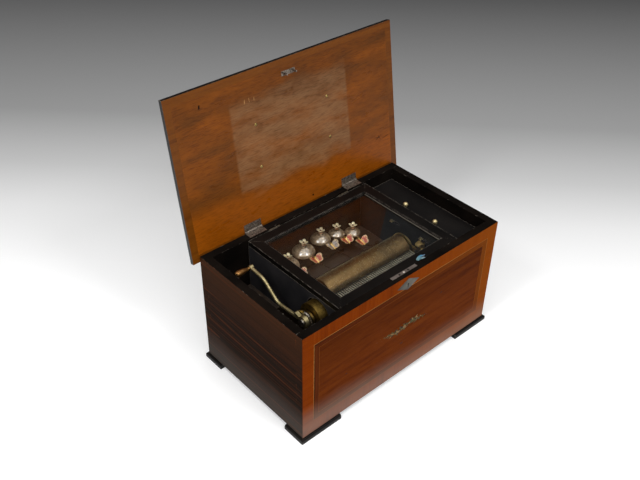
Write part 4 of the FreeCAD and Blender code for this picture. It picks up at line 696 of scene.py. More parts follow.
def line(shape, face, points, wide, proud, material=0):
    """A thin strip along points on a face."""
    sides = [[], []]
    for k, (u, v) in enumerate(points):
        a, b = points[max(k - 1, 0)], points[min(k + 1, len(points) - 1)]
        along = Vector((b[0] - a[0], b[1] - a[1])).normalized() * wide / 2
        sides[0].append((u + along.y, v - along.x))
        sides[1].append((u - along.y, v + along.x))
    slab(shape, face, sides[0] + sides[1][::-1], proud, material)


def lathe(shape, frame_at, profile, sides=24, material=0):
    """A turned piece about the third axis of a frame, from a profile of radius and height."""
    turns = [2 * math.pi * k / sides for k in range(sides)]
    rings = []
    for radius, height in profile:
        points = [Vector((radius * math.cos(t), radius * math.sin(t), height)) for t in turns]
        rings.append([shape.verts.new(frame_at @ point) for point in points])
    faces = [shape.faces.new(rings[0][::-1]), shape.faces.new(rings[-1])]
    for low, high in zip(rings, rings[1:]):
        for k in range(sides):
            n = (k + 1) % sides
            faces.append(shape.faces.new((low[k], low[n], high[n], high[k])))
    for each in faces:
        each.material_index = material
        each.smooth = True


def screw_head(shape, frame_at, radius, turn, material=0, proud=0.35):
    """A slotted screw head: a low dished collar and two halves with the slot between them."""
    rise = radius * proud
    lathe(shape, frame_at, [(radius, -0.1 * MM), (radius, rise * 0.4)], 16, material)
    for side in (0, math.pi):
        ends = [side + turn + math.radians(each) for each in (12, 39, 66, 90, 114, 141, 168)]
        slab(shape, frame_at, [(radius * 0.95 * math.cos(t), radius * 0.95 * math.sin(t)) for t in ends],
             rise, material)


def new_piece(name, shape, body, materials, stands_for=()):
    """Turns a shape into a piece that rides on a body."""
    bmesh.ops.recalc_face_normals(shape, faces=shape.faces)
    mesh = bpy.data.meshes.new(name)
    shape.to_mesh(mesh)
    shape.free()
    for material in materials:
        mesh.materials.append(material)
    piece = bpy.data.objects.new(name, mesh)
    bpy.context.scene.collection.objects.link(piece)
    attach(piece, body)
    if stands_for:
        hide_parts(*stands_for)
    return piece


def dress(material, *names):
    """Gives a finish to whole CAD nodes."""
    for name in names:
        mesh = nodes[name].data
        mesh.materials.clear()
        mesh.materials.append(material)


def soften_edges(width, *names):
    """Rounds the sharp edges of wooden nodes so that they catch the light."""
    for name in names:
        bevel = nodes[name].modifiers.new("soft edges", "BEVEL")
        bevel.width = width * MM
        bevel.segments = 2
        bevel.limit_method = "ANGLE"
        bevel.angle_limit = math.radians(50)


# Operators

class MUSICBOX_OT_case(bpy.types.Operator):
    """Veneers the walls and blacks the inside, the rim and the feet"""
    bl_idname = "musicbox.case"
    bl_label = "Case"

    def execute(self, context):
        tints = context.scene.music_box_tints
        front = [tints.front_dark, tints.front, tints.front_light]
        side = [tints.side_dark, tints.side, tints.side_warm]
        pale, red, fine = linear("#A9713F"), linear("#7C4122"), linear("#4A1C08")
        lit = tints.side_light
        dress(veneered_wall("rosewood veneer, front", -Y, 0, 3.6, front, pale, fine, 0.85), "front_wall")
        for name, out in (("left", -X), ("right", X)):
            end = veneered_wall(f"rosewood veneer, {name} end", out, 1, END_FIGURE, side, red, lit)
            dress(end, f"{name}_wall")
        dress(veneered_wall("rosewood veneer, back", Y, 0, 5, side, red, lit), "back_wall")
        dress(ebonised_wood("ebonised beech, shellacked", tints.black), "corner_feet")
        dress(ebonised_wood("ebonised deck", linear("#141313"), 0.26), "control_deck")
        # The left partition is a lighter black than the right one: painted light on its face that looks into
        # the lever well.
        dress(ebonised_wood("black distemper on pine, painted light", linear("#2B2B2E"), 0.3), "left_partition")
        dress(ebonised_wood("black distemper on pine", linear("#191A1C"), 0.26), "right_partition")
        dress(pine_board(), "bottom_board", "sound_board", "board_cleats")
        soften_edges(0.5, "left_partition", "right_partition", "control_deck", "corner_feet")
        # Pin knots: place, turn, length and width, in mm and degrees
        knots = ((-8, 80, 4, 9, 3), (96, 148, 20, 7, 2.4), (-150, 96, -8, 6, 1.8))
        shape = bmesh.new()
        for u, v, turn, long, wide in knots:
            leaf(shape, front_face, (u * MM, v * MM), math.radians(turn), long * MM, wide * MM, 0.1 * MM)
        dark = stained_inlay("pin knots, dark", linear("#2E1002"))
        new_piece("front_knots", shape, "case", [dark])
        return {"FINISHED"}


class MUSICBOX_OT_banding(bpy.types.Operator):
    """Lays the crossband, the lines and the margin round the front and the top of the lid"""
    bl_idname = "musicbox.banding"
    bl_label = "Banding"

    def execute(self, context):
        sizes, tints = context.scene.music_box_sizes, context.scene.music_box_tints
        band = [linear("#662803"), tints.band, linear("#7C3706")]
        pale = [linear("#8E5C26"), tints.string, linear("#BE8848")]
        ink = [linear("#1C0A04"), linear("#260E05"), linear("#321408")]
        shade = [linear("#3A1607"), linear("#4C2009"), linear("#5C2A0C")]
        faint = [linear("#643010"), linear("#743C14"), linear("#84481C")]
        # Fibres run across each strip: up in the level strips, along in the uprights.
        bands = [banding_wood("kingwood crossband, upright fibres", 2, band, 7),
                 banding_wood("kingwood crossband, level fibres", 0, band, 7)]
        strings = [banding_wood("boxwood stringing", 0, pale, 4, 0.75)] * 2
        inks = [banding_wood("ebony line", 0, ink, 4, 0.75)] * 2
        margins = [banding_wood("rosewood margin, level", 0, shade, 3, 0.75),
                   banding_wood("rosewood margin, upright", 2, shade, 3, 0.75)]
        inner = [banding_wood("boxwood inner line, darkened", 0, faint, 4)] * 2
        high = case_high.z - case_low.z
        deep = lid_high.y - lid_low.y
        faces = (("front", "case", front_face, high, sizes.band_foot, sizes.band_top),
                 ("lid", "lid", lid_top_face, deep, sizes.band_end, sizes.band_end))
        for name, body, face, tall, foot, top in faces:
            outer = (case_low.x, 0, case_high.x, tall)
            field = (case_low.x + sizes.band_end, foot, case_high.x - sizes.band_end, tall - top)
            dark = inset(field, sizes.string)
            plain = inset(dark, sizes.dark_line)
            mark = inset(plain, sizes.margin)
            strips = (("crossband", outer, field, sizes.veneer_proud, bands),
                      ("stringing", field, dark, sizes.veneer_proud * 1.4, strings),
                      ("dark_line", dark, plain, sizes.veneer_proud, inks),
                      ("margin", plain, mark, sizes.veneer_proud, margins),
                      ("inner_line", mark, inset(mark, sizes.inner_string), sizes.veneer_proud, inner))
            for strip, around, within, proud, materials in strips:
                shape = bmesh.new()
                mitred_frame(shape, face, around, within, proud)
                new_piece(f"{name}_{strip}", shape, body, materials)
        return {"FINISHED"}


def spray(shape, face, middle, span, height, proud):
    """A loose floral spray: a waving stem, leaves in tufts, a small flower and specks towards the ends."""
    chance = random.Random(7)
    u0, v0 = middle

    def stem(t):
        return u0 + span / 2 * t, v0 + height * 0.12 * math.sin(5.2 * t)

    line(shape, face, [stem(-0.7 + 1.4 * k / 30) for k in range(31)], 0.5 * MM, proud * 0.8, 2)
    lift = proud
    # Place on the stem, number of leaves and size of each tuft
    tufts = ((-0.64, 9, 0.7), (-0.36, 24, 1.15), (-0.1, 18, 0.95), (0.1, 16, 0.95), (0.36, 24, 1.15),
             (0.64, 9, 0.7))
    for tuft, count, size in tufts:
        for k in range(count):
            u, v = stem(tuft + chance.uniform(-0.15, 0.15))
            turn = chance.choice((0.6, 2.5, -0.6, -2.5)) + chance.uniform(-0.45, 0.45)
            long = height * size * chance.uniform(0.22, 0.38)
            lift += 0.003 * MM
            leaf(shape, face, (u, v + chance.uniform(-0.06, 0.06) * height), turn, long, long * 0.3, lift,
                 chance.choice((0, 0, 1, 3)))
    for k in range(5):
        turn = 2 * math.pi * k / 5 + 0.3
        leaf(shape, face, (u0, v0), turn, height * 0.17, height * 0.09, lift + 0.02 * MM, 1)
    for k in range(22):
        side = 1 if k % 2 else -1
        u, v = stem(side * chance.uniform(0.5, 1.0))
        v += chance.uniform(-0.12, 0.12) * height
        disc(shape, face, (u, v), chance.uniform(0.35, 0.7) * MM, proud, chance.choice((1, 2)), 7)


class MUSICBOX_OT_spray(bpy.types.Operator):
    """Inlays the floral spray in the front and in the top of the lid"""
    bl_idname = "musicbox.spray"
    bl_label = "Floral Spray"

    def execute(self, context):
        sizes, tints = context.scene.music_box_sizes, context.scene.music_box_tints
        woods = [stained_inlay("stained sycamore leaves", tints.leaf),
                 stained_inlay("pale sycamore petals", tints.petal),
                 stained_inlay("stained sycamore stems", linear("#5E4C28")),
                 stained_inlay("black stained leaves", linear("#1E190C"))]
        lid_middle = (0, (lid_high.y - lid_low.y) / 2)
        for name, body, face, middle in (("front_spray", "case", front_face, (0, sizes.spray_middle)),
                                         ("lid_spray", "lid", lid_top_face, lid_middle)):
            shape = bmesh.new()
            spray(shape, face, middle, sizes.spray_span, sizes.spray_height, sizes.veneer_proud)
            new_piece(name, shape, body, woods)
        return {"FINISHED"}


class MUSICBOX_OT_lid(bpy.types.Operator):
    """Varnishes the lid and adds its marks, hinges and tacks"""
    bl_idname = "musicbox.lid"
    bl_label = "Lid"

    def execute(self, context):
        tints = context.scene.music_box_tints
        dress(lid_wood(), "lid_panel")
        dress(moulding_wood(), "lid_moulding")
        old_steel = metal("mottled hinge steel", linear("#A2968A"), linear("#3A322B"), 0.42, 3)
        dress(old_steel, "lid_hinge_leaves", "lid_hinge_case_leaves", "lid_link_plate")
        dress(metal("dull tack brass", tints.brass, tints.brass_dull, 0.3, 3), "lid_tacks")
        shape = bmesh.new()
        thin = 0.06 * MM
        # An old slot and a nail hole, drawn as dark patches of painted shade
        slot = ((-199, 268), (-196, 268), (-195, 275), (-198, 275))
        slab(shape, lid_inside_face, [(u * MM, v * MM) for u, v in slot], thin)
        disc(shape, lid_inside_face, (28 * MM, 12 * MM), 2.2 * MM, thin)
        # Scratches: place, turn and length in mm and degrees, then 0 for a dark and 1 for a pale one
        scratches = ((-105, 246, 78, 10, 1), (-93, 247, 96, 9, 1), (-83, 246, 84, 9, 1),
                     (203, 72, -12, 16, 0), (208, 66, 24, 18, 0), (226, 64, 8, 20, 0), (214, 76, -60, 14, 0))
        wide = 1.1 * MM
        for u, v, turn, long, pale in scratches:
            leaf(shape, lid_inside_face, (u * MM, v * MM), math.radians(turn), long * MM, wide, thin, pale)
        marks = [stained_inlay("old holes, painted shade", linear("#1A0D06")),
                 stained_inlay("scratched varnish", linear("#B98A55"))]
        new_piece("lid_marks", shape, "lid", marks)
        return {"FINISHED"}


class MUSICBOX_OT_glazed_lid(bpy.types.Operator):
    """Finishes the inner lid: black rails, glass, beads, putty with a painted highlight, and hinges"""
    bl_idname = "musicbox.glazed_lid"
    bl_label = "Glazed Lid"

    def execute(self, context):
        sizes = context.scene.music_box_sizes
        dress(ebonised_wood("ebonised rails, shellacked", linear("#0E0C0B"), 0.2), "inner_lid_rails")
        dress(ebonised_wood("ebonised beads", linear("#0C0B0A"), -0.3), "glazing_beads")
        soften_edges(0.5, "inner_lid_rails")
        dress(window_glass(), "glass_pane")
        dress(metal("blackened hinge brass", linear("#6E6456"), linear("#2E2820"), 0.35, 6),
              "inner_hinge_leaves", "inner_hinge_case_leaves")
        low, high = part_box("glass_pane")
        face = face_frame(Vector((0, 0, high.z)), X, Y)
        sight = inset((low.x, low.y, high.x, high.y), sizes.glass_lap)
        shape = bmesh.new()
        # The putty is left along the right rail only; its pale line is also a painted highlight of the
        # bead's edge.
        mitred_frame(shape, face, sight, inset(sight, sizes.putty), 0.5 * MM, (1,))
        new_piece("glass_putty_highlight", shape, "inner_lid", [putty_with_painted_highlight()] * 2)
        return {"FINISHED"}


def smooth_path(places, steps=5):
    """Points on a smooth curve through places, each a row of numbers."""
    path = []
    for span in range(len(places) - 1):
        ends = [places[min(max(span + k, 0), len(places) - 1)] for k in (-1, 0, 1, 2)]
        for step in range(steps):
            t = step / steps
            path.append([0.5 * (2 * b + (c - a) * t + (2 * a - 5 * b + 4 * c - d) * t * t
                                + (3 * b - a - 3 * c + d) * t ** 3) for a, b, c, d in zip(*ends)])
    path.append(list(places[-1]))
    return path


class MUSICBOX_OT_ribbon(bpy.types.Operator):
    """Folds the silk ribbon that lifts the glazed lid"""
    bl_idname = "musicbox.ribbon"
    bl_label = "Ribbon Pull"

    def execute(self, context):
        wide = context.scene.music_box_sizes.ribbon
        low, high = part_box("ribbon_pull")
        middle = Vector(((low.x + high.x) / 2, (low.y + high.y) / 2, low.z))
        # In mm from the rail: a tail to the front, a turn to the left, and a loop back to a pointed
        # right end. The fourth number turns the ribbon in plan, in degrees.
        places = [(8.5, -4.4, 0.7, 12), (5, -4.6, 0.9, -12), (1.5, -3.4, 1.1, -32), (-2.5, -2.2, 0.9, -14),
                  (-7, -2.6, 0.7, 10), (-9, -2.4, 1.0, 24), (-6.5, -1.0, 1.5, 28), (-1, 0.8, 1.9, 18),
                  (4, 1.4, 1.8, -6), (9, 0.4, 1.3, -12), (14, -0.4, 0.9, -8)]
        path = smooth_path(places)
        points = [Vector(each[:3]) * MM for each in path]
        long = sum((b - a).length for a, b in zip(points, points[1:]))
        shape = bmesh.new()
        uv = shape.loops.layers.uv.new("silk")
        across = 8
        rows, done = [], 0.0
        for k, point in enumerate(points):
            done += (point - points[k - 1]).length if k else 0
            turn = math.radians(path[k][3])
            aside = Vector((-math.sin(turn), math.cos(turn), 0))
            # The right end is cut to a point.
            reach = wide * min(1, 0.12 + (long - done) / (wide * 1.1))
            row = []
            for j in range(across + 1):
                v = (j / across - 0.5) * reach
                # Pleats along the ribbon draw it in to under half of its width.
                pleat = Z * (-1) ** j * 0.56 * MM
                row.append((shape.verts.new(middle + point + aside * v * 0.46 + pleat), (done, v)))
            rows.append(row)
        for a, b in zip(rows, rows[1:]):
            for j in range(across):
                quad = (a[j], b[j], b[j + 1], a[j + 1])
                face = shape.faces.new([vert for vert, at in quad])
                face.smooth = True
                for loop, (vert, at) in zip(face.loops, quad):
                    loop[uv].uv = at
        # Loose threads hang from the cut end.
        chance = random.Random(4)
        for j in range(across):
            for part in (0.25, 0.75):
                root = rows[0][j][0].co.lerp(rows[0][j + 1][0].co, part)
                tip = root + Vector((chance.uniform(0.5, 1.4), chance.uniform(-0.3, 0.3), -0.1)) * MM
                thread = (root - X * 0.15 * MM, root + X * 0.15 * MM, tip)
                shape.faces.new([shape.verts.new(point) for point in thread])
        piece = new_piece("silk_ribbon", shape, "inner_lid", [ribbed_silk()], ["ribbon_pull"])
        return {"FINISHED"}


class MUSICBOX_OT_lock(bpy.types.Operator):
    """Finishes the lock and the keyhole plate and drives in their screws"""
    bl_idname = "musicbox.lock"
    bl_label = "Lock"

    def execute(self, context):
        steel = metal("lock steel, polished", linear("#A2968E"), linear("#7C716A"), 0.4, 30)
        silver = metal("keyhole plate, nickel silver", linear("#605C54"), linear("#423F39"), 0.42, 26)
        dress(steel, "lock_case", "lock_bolt")
        dress(silver, "key_escutcheon")
        low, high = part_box("lock_case")
        shape = bmesh.new()
        # This screw is sunk, so that the shut lid clears it.
        at = Vector((0, (low.y + high.y) / 2, high.z))
        screw_head(shape, face_frame(at, X, Y), 2.2 * MM, 0.6, proud=0.05)
        low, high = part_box("key_escutcheon")
        for side in (-1, 1):
            at = Vector((side * (high.x - 7 * MM), low.y, (low.z + high.z) / 2))
            screw_head(shape, face_frame(at, X, Z), 1.3 * MM, 0.4 - side, 2)
        # A dark plate behind the keyhole is painted shade that stands in for the hole behind it.
        hole = (low + high) / 2 - front_face.translation
        keyhole_shade = ((-5, -8), (5, -8), (5, 8), (-5, 8))
        slab(shape, front_face, [(u * MM, hole.z + v * MM) for u, v in keyhole_shade], 0.2 * MM, 1)
        bright = metal("screw steel, rubbed", linear("#F0E8DE"), linear("#D0C8BC"), 0.5, 5)
        dark = stained_inlay("keyhole, painted shade", linear("#0A0705"))
        new_piece("lock_screws", shape, "case", [bright, dark, silver])
        return {"FINISHED"}


class MUSICBOX_OT_movement(bpy.types.Operator):
    """Finishes the metals of the movement and of the winding gear"""
    bl_idname = "musicbox.movement"
    bl_label = "Movement"

    def execute(self, context):
        tints = context.scene.music_box_tints
        # Name, bright and dull tone, roughness and size of the clouds in mm, then the nodes
        finishes = (
            ("turned brass", tints.brass, tints.brass_dull, 0.22, 12,
             ("left_bearing", "right_bearing", "cylinder_wheel", "holding_click", "lever_pawl",
              "barrel_bracket")),
            ("governor brass, brushed", linear("#D2B67C"), linear("#98804A"), 0.5, 8,
             ("governor_frame", "governor_cock")),
            ("barrel brass, dulled", linear("#76602E"), linear("#3A2D16"), 0.42, 9,
             ("spring_barrel", "barrel_cap")),
            ("lever brass, handled", linear("#B2A47C"), linear("#857A56"), 0.4, 20, ("winding_lever",)),
            ("knob brass, pale", linear("#E4D4A8"), linear("#B8A470"), 0.42, 6,
             ("stop_lever", "change_lever")),
            ("cast bedplate, bronzed", linear("#241B13"), linear("#150F0A"), 0.5, 25, ("bedplate",)),
            ("blackened steel", linear("#3A322A"), linear("#1E1914"), 0.45, 20,
             ("bell_rail", "striker_rod", "striker_posts")),
            ("polished steel", tints.steel, linear("#6A645C"), 0.24, 10,
             ("comb_base", "movement_screws", "cylinder_arbor", "governor_arbor", "governor_fly",
              "winding_arbor")),
            ("blued spring steel", linear("#4A5260"), linear("#2C3038"), 0.3, 9, ("mainspring",)),
            ("copper grip, handled", tints.copper, linear("#6A4424"), 0.3, 9, ("lever_grip",)))
        for name, bright, dull, roughness, patch, finished in finishes:
            dress(metal(name, bright, dull, roughness, patch), *finished)
        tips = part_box("comb")[1].y
        dress(metal("comb steel, ground, painted shade", linear("#A8A28E"), linear("#868070"), 0.45, 14, tips=tips), "comb")
        # The cylinder was turned, so its tool marks run round it.
        olive = metal("cylinder brass, olive tarnish", linear("#846B46"), linear("#59472E"), 0.31, 45,
                      (0.6, 14, 14))
        dress(olive, "pinned_cylinder")
        return {"FINISHED"}


def tune_pin(shape, root, out, tall, half):
    """A square pin that tapers to its tip."""
    aside = out.cross(X)
    tip = root + out * tall
    corners = ((1, 1), (-1, 1), (-1, -1), (1, -1))
    base = [shape.verts.new(root + X * a * half + aside * b * half) for a, b in corners]
    top = [shape.verts.new(tip + X * a * half * 0.6 + aside * b * half * 0.6) for a, b in corners]
    shape.faces.new(top)
    shape.faces.new(base[::-1])
    for k in range(4):
        n = (k + 1) % 4
        shape.faces.new((base[k], base[n], top[n], top[k]))


class MUSICBOX_OT_pins(bpy.types.Operator):
    """Sets the tune pins in the cylinder"""
    bl_idname = "musicbox.pins"
    bl_label = "Tune Pins"

    def execute(self, context):
        sizes = context.scene.music_box_sizes
        low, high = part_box("pinned_cylinder")
        axis = (low + high) / 2
        radius = (high.z - low.z) / 2
        comb_low, comb_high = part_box("comb")
        teeth, tunes = 40, 6
        pitch = (comb_high.x - comb_low.x) / teeth
        sunk = 0.1 * MM
        chance = random.Random(12)
        shape = bmesh.new()
        for tooth in range(teeth):
            for tune in range(tunes):
                x = comb_low.x + pitch * (tooth + 0.2 + 0.6 * tune / (tunes - 1))
                for _ in range(chance.randint(6, 11)):
                    turn = chance.uniform(0, 2 * math.pi)
                    out = Vector((0, math.cos(turn), math.sin(turn)))
                    root = Vector((x, axis.y, axis.z)) + out * (radius - sunk)
                    tune_pin(shape, root, out, sizes.pin + sunk, sizes.pin_thick / 2)
        steel = metal("pin steel", linear("#B8AC8C"), linear("#7C6E4A"), 0.3, 6)
        new_piece("cylinder_pins", shape, "cylinder", [steel])
        return {"FINISHED"}


def nut_places():
    """Where the stems of the bell nuts stand, one after another along the rail."""
    points = sorted((vertex.co for vertex in nodes["bell_nuts"].data.vertices), key=lambda co: co.x)
    groups = [[points[0]]]
    for point in points[1:]:
        if point.x - groups[-1][-1].x > 8 * MM:
            groups.append([])
        groups[-1].append(point)
    places = []
    for group in groups:
        low = Vector([min(point[k] for point in group) for k in range(3)])
        high = Vector([max(point[k] for point in group) for k in range(3)])
        places.append(Vector(((low.x + high.x) / 2, (low.y + high.y) / 2, low.z)))
    return places


def bell_rims():
    """The middle and the rim radius of every bell."""
    places = nut_places()
    reach = [0] * len(places)
    for vertex in nodes["bells"].data.vertices:
        away = [(vertex.co.xy - place.xy).length for place in places]
        k = away.index(min(away))
        reach[k] = max(reach[k], away[k])
    return list(zip(places, reach))


def petal(shape, frame_at, reach, steps=6, across=4):
    """A cupped petal with a raised rim, thick enough to be cast metal."""
    skins = []
    for under in (0, 1):
        rows = []
        for k in range(steps + 1):
            t = k / steps
            half = reach * 0.37 * math.sin(math.pi * (0.12 + 0.8 * t)) ** 0.7
            row = []
            for j in range(across + 1):
                s = 2 * j / across - 1
                cup = 0.22 * half * s * s + 0.1 * reach * t * t
                point = Vector((reach * (0.2 + 0.8 * t), half * s, cup - under * 0.6 * MM))
                row.append(shape.verts.new(frame_at @ point))
            rows.append(row)
        skins.append(rows)
    faces = []
    for rows in skins:
        for a, b in zip(rows, rows[1:]):
            for j in range(across):
                faces.append(shape.faces.new((a[j], b[j], b[j + 1], a[j + 1])))
    rims = []
    for rows in skins:
        rim = [row[0] for row in rows] + rows[-1][1:]
        rims.append(rim + [row[-1] for row in rows[-2::-1]] + rows[0][-2:0:-1])
    for k in range(len(rims[0])):
        n = (k + 1) % len(rims[0])
        faces.append(shape.faces.new((rims[0][k], rims[0][n], rims[1][n], rims[1][k])))
    for each in faces:
        each.smooth = True


class MUSICBOX_OT_bells(bpy.types.Operator):
    """Plates the bells and screws on their petalled finials"""
    bl_idname = "musicbox.bells"
    bl_label = "Bells"

    def execute(self, context):
        sizes = context.scene.music_box_sizes
        dress(dulled_nickel(), "bells")
        # Radius and height in mm of the turned stem and of the button on it
        stem = ((4.3, 0), (4.3, 1.5), (3.6, 2.1), (2.0, 2.4), (1.7, 3.6), (2.6, 4.4), (2.6, 5.8), (1.5, 7.0))
        button = ((1.6, 6.6), (1.8, 7.2), (1.3, 8.0), (0.3, 8.3))
        petals = 4
        lift = Matrix.Translation((0, 0, 5.6 * MM)) @ Matrix.Rotation(math.radians(-14), 4, "Y")
        shape = bmesh.new()
        for place in nut_places():
            at = Matrix.Translation(place)
            for profile, sides, material in ((stem, 20, 1), (button, 16, 2)):
                lathe(shape, at, [(r * MM, h * MM) for r, h in profile], sides, material)
            for k in range(petals):
                turn = Matrix.Rotation(2 * math.pi * k / petals + math.radians(38), 4, "Z")
                petal(shape, at @ turn @ lift, sizes.finial)
        gilt = metal("gilt petals, worn white", linear("#F2E8CC"), linear("#CDBB8A"), 0.46, 4)
        neck = metal("copper neck", linear("#B08A6C"), linear("#7E5236"), 0.4, 4)
        dark = metal("blackened button", linear("#4A3E34"), linear("#241D18"), 0.4, 3)
        new_piece("bell_finials", shape, "case", [gilt, neck, dark], ["bell_nuts"])
        return {"FINISHED"}


def wing_root(node, tilt, dip):
    """The middle of a butterfly, worked out from the outer parts of its wings."""
    low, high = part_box(node)
    x = (low.x + high.x) / 2
    outer = [dip.inverted() @ vertex.co for vertex in nodes[node].data.vertices
             if abs(vertex.co.x - x) > 4 * MM]
    y = (min(co.y for co in outer) + max(co.y for co in outer)) / 2
    z = sum(co.z - abs(co.x - x) * math.tan(tilt) for co in outer) / len(outer)
    return dip @ Vector((x, y, z))


def enamel_wing(shape, face, half, turn, middle, rise):
    """A scalloped wing with raised cells that spread from its root."""
    c, s = math.cos(turn), math.sin(turn)

    def laid(a, b):
        return middle[0] + c * a - s * b, middle[1] + s * a + c * b

    sides = 36
    ring = []
    for k in range(sides):
        t = 2 * math.pi * k / sides
        edge = 1 + 0.045 * math.cos(9 * t) * (1 + math.cos(t)) / 2
        swell = 1 + 0.12 * math.cos(t)
        ring.append(laid(half[0] * math.cos(t) * edge, half[1] * math.sin(t) * edge * swell))
    slab(shape, face, ring, rise + 0.35 * MM, 0, 0)
    root = laid(-half[0] * 0.86, 0)
    for k in range(-2, 3):
        spread = turn + k * math.radians(19)
        start = (root[0] + half[0] * 0.3 * math.cos(spread), root[1] + half[0] * 0.3 * math.sin(spread))
        long = half[0] * (1.42 - 0.13 * abs(k) ** 1.6)
        leaf(shape, face, start, spread, long, half[1] * 0.4, rise + 0.65 * MM, 1)


class MUSICBOX_OT_butterflies(bpy.types.Operator):
    """Enamels the wings of the five butterfly strikers"""
    bl_idname = "musicbox.butterflies"
    bl_label = "Butterflies"

    def execute(self, context):
        tints = context.scene.music_box_tints
        strikers = sorted(name for name in nodes if name.startswith("bell_striker_"))
        red, cream = enamel("red enamel", tints.wing_red), enamel("cream enamel", tints.wing_cream)
        grey = enamel("grey enamel", linear("#86807C"))
        gold = metal("fire gilt body", linear("#F0CC80"), linear("#C09848"), 0.4, 5)
        tilt, dip = math.radians(24), Matrix.Rotation(math.radians(15), 3, X)
        # Half axes, turn and middle of the fore and the hind wing, in mm from the butterfly's middle
        wings = (((7.7, 5.6), 25, (8.6, 2.6)), ((6.0, 4.8), -20, (6.6, -3.6)))
        # Radius and height in mm of the body, from tail to head
        body = ((0.3, -9), (1.2, -7.4), (1.7, -3), (1.8, 1), (1.5, 3.6), (1.9, 5.2), (1.3, 7.2), (0.3, 8))
        for k, node in enumerate(strikers):
            middle = wing_root(node, tilt, dip)
            dress(gilt_striker(f"fire gilt brass {k + 1}", middle.y - 9 * MM), node)
            shape = bmesh.new()
            for side in (-1, 1):
                out = dip @ Vector((side * math.cos(tilt), 0, math.sin(tilt)))
                face = face_frame(middle, out, dip @ Y * side)
                for (a, b), turn, (u, v) in wings:
                    enamel_wing(shape, face, (a * MM, b * MM), math.radians(turn) * side,
                                (u * MM, v * side * MM), 0.35 * MM)
            lathe(shape, face_frame(middle, X, dip @ Z) @ Matrix.Rotation(math.pi, 4, "Y"),
                  [(r * MM, h * MM) for r, h in body], 12, 2)
            # The third butterfly is grey.
            cells = grey if k == 2 else red
            new_piece(f"butterfly_wings_{k + 1}", shape, node.replace("bell_striker", "striker"),
                      [cream, cells, gold])
        return {"FINISHED"}


def studio_floor(away):
    """Seamless studio paper: white near the box, with painted shade that turns it grey far behind it."""
    material, tree = new_material("studio paper, matt")
    place = add(tree, "TexCoord", take="Object")
    distance = add(tree, "VectorMath", {0: place, 1: away}, operation="DOT_PRODUCT")
    distance = add(tree, "MapRange", {"Value": distance, "From Min": 0, "From Max": 2})
    # The grey ramp is painted shade, darker the farther the paper lies behind the box.
    colour = add(tree, "ValToRGB", {"Fac": distance},
                 stops=[(at, [grey] * 3) for at, grey in ((0, 0.93), (0.2, 0.74), (0.45, 0.345), (1, 0.1))])
    # Rays to the eye see the paper overexposed near the box, as on a light table. It lights nothing.
    seen = add(tree, "LightPath", take="Is Camera Ray")
    for kind in ("Glossy", "Transmission"):
        ray = add(tree, "LightPath", take=f"Is {kind} Ray")
        seen = add(tree, "Math", {0: seen, 1: ray}, operation="MAXIMUM")
    over = add(tree, "MapRange", {"Value": distance, "From Min": 0.3, "From Max": -0.02, "To Max": 0.24})
    over = add(tree, "Math", {0: over, 1: seen}, operation="MULTIPLY")
    finish_material(tree, Base_Color=colour, Roughness=0.9, Specular_IOR_Level=0.1, Emission_Color=WHITE,
                    Emission_Strength=over)
    return material


def place_camera(scene, stage):
    """Sets up the camera and returns the direction from the box back to it."""
    a, e, r = stage.azimuth, stage.elevation, stage.roll
    right = Vector((math.cos(a), math.sin(a), 0))
    back = Vector((math.sin(a) * math.cos(e), -math.cos(a) * math.cos(e), math.sin(e)))
    up = back.cross(right)
    level = math.cos(r) * right + math.sin(r) * up
    upright = math.cos(r) * up - math.sin(r) * right
    camera = bpy.data.objects.new("camera", bpy.data.cameras.new("camera"))
    camera.data.lens = stage.lens
    camera.data.sensor_width = 36
    camera.data.sensor_fit = "HORIZONTAL"
    camera.matrix_world = (Matrix.Translation(stage.place)
                           @ Matrix((level, upright, back)).transposed().to_4x4())
    scene.collection.objects.link(camera)
    scene.camera = camera
    return back


def lay_floor(scene, away):
    """Lays the studio paper, whose painted shade runs along a direction."""
    shape = bmesh.new()
    reach = 6
    bmesh.ops.create_grid(shape, x_segments=2, y_segments=2, size=reach)
    mesh = bpy.data.meshes.new("floor")
    shape.to_mesh(mesh)
    shape.free()
    floor = bpy.data.objects.new("floor", mesh)
    floor.location.z = cad_box[0].z
    mesh.materials.append(studio_floor(away))
    scene.collection.objects.link(floor)


def light_room(scene, stage, back):
    """Lights the room, which is bright round the camera and dark behind the box, and hangs three lights."""
    world = bpy.data.worlds.new("studio")
    world.use_nodes = True
    tree = world.node_tree
    tree.nodes.clear()
    towards = add(tree, "TexCoord", take="Generated")
    towards = add(tree, "VectorMath", {0: towards, 1: back}, operation="DOT_PRODUCT")
    bright = add(tree, "MapRange", {"Value": towards, "From Min": -0.35, "From Max": 0.85,
                                    "To Min": 0.08, "To Max": stage.sky}, interpolation_type="SMOOTHSTEP")
    add(tree, "OutputWorld", {"Surface": add(tree, "Background", {"Strength": bright})})
    scene.world = world
    middle = (cad_box[0] + cad_box[1]) / 2
    overhead = Vector((-0.15, -1.1, 3.2))
    below = Vector((overhead.x, overhead.y, 0))
    for name, place, aim, size, power in (
            ("overhead panel", overhead, below, 4.2, stage.key),
            ("left softbox", Vector((-1.51, -0.19, 2.07)), middle, 0.4, stage.fill),
            ("right softbox", Vector((0.0, -1.45, 2.07)), middle, 0.4, stage.fill)):
        lamp = bpy.data.lights.new(name, "AREA")
        lamp.size = size
        lamp.energy = power
        light = bpy.data.objects.new(name, lamp)
        light.location = place
        light.rotation_euler = (aim - place).to_track_quat("-Z", "Y").to_euler()
        scene.collection.objects.link(light)


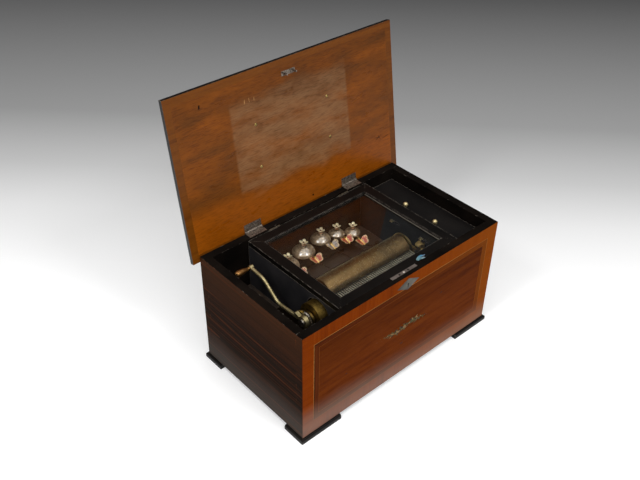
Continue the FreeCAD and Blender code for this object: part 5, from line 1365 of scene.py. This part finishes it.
class MUSICBOX_OT_stage(bpy.types.Operator):
    """Sets the pale floor, the soft light and the camera"""
    bl_idname = "musicbox.stage"
    bl_label = "Stage"

    def execute(self, context):
        scene, stage = context.scene, context.scene.music_box_stage
        scene.view_settings.view_transform = "Standard"
        back = place_camera(scene, stage)
        away = Matrix.Rotation(stage.lean, 3, "Z") @ Vector((-back.x, -back.y, 0)).normalized()
        lay_floor(scene, away)
        light_room(scene, stage, back)
        return {"FINISHED"}


class MUSICBOX_PT_panel(bpy.types.Panel):
    """Lists the steps that dress the music box"""
    bl_idname = "MUSICBOX_PT_panel"
    bl_label = "Music Box"
    bl_space_type = "VIEW_3D"
    bl_region_type = "UI"
    bl_category = "Music Box"

    def draw(self, context):
        for operator in operators:
            self.layout.operator(operator.bl_idname)
        scene = context.scene
        for group in (scene.music_box_sizes, scene.music_box_tints, scene.music_box_stage):
            box = self.layout.box()
            for name in group.__annotations__:
                box.prop(group, name)


operators = (MUSICBOX_OT_case, MUSICBOX_OT_banding, MUSICBOX_OT_spray, MUSICBOX_OT_lid,
             MUSICBOX_OT_glazed_lid, MUSICBOX_OT_ribbon, MUSICBOX_OT_lock, MUSICBOX_OT_movement,
             MUSICBOX_OT_pins, MUSICBOX_OT_bells, MUSICBOX_OT_butterflies, MUSICBOX_OT_stage)
classes = (MusicBoxSizes, MusicBoxTints, MusicBoxStage, *operators, MUSICBOX_PT_panel)


def register():
    for each in classes:
        bpy.utils.register_class(each)
    bpy.types.Scene.music_box_sizes = bpy.props.PointerProperty(type=MusicBoxSizes)
    bpy.types.Scene.music_box_tints = bpy.props.PointerProperty(type=MusicBoxTints)
    bpy.types.Scene.music_box_stage = bpy.props.PointerProperty(type=MusicBoxStage)


def unregister():
    del bpy.types.Scene.music_box_stage
    del bpy.types.Scene.music_box_tints
    del bpy.types.Scene.music_box_sizes
    for each in reversed(classes):
        bpy.utils.unregister_class(each)


def main():
    """Dresses the whole box."""
    register()
    bpy.ops.musicbox.case()
    bpy.ops.musicbox.banding()
    bpy.ops.musicbox.spray()
    bpy.ops.musicbox.lid()
    bpy.ops.musicbox.glazed_lid()
    bpy.ops.musicbox.ribbon()
    bpy.ops.musicbox.lock()
    bpy.ops.musicbox.movement()
    bpy.ops.musicbox.pins()
    bpy.ops.musicbox.bells()
    bpy.ops.musicbox.butterflies()
    bpy.ops.musicbox.stage()


if __name__ == "__main__":
    main()
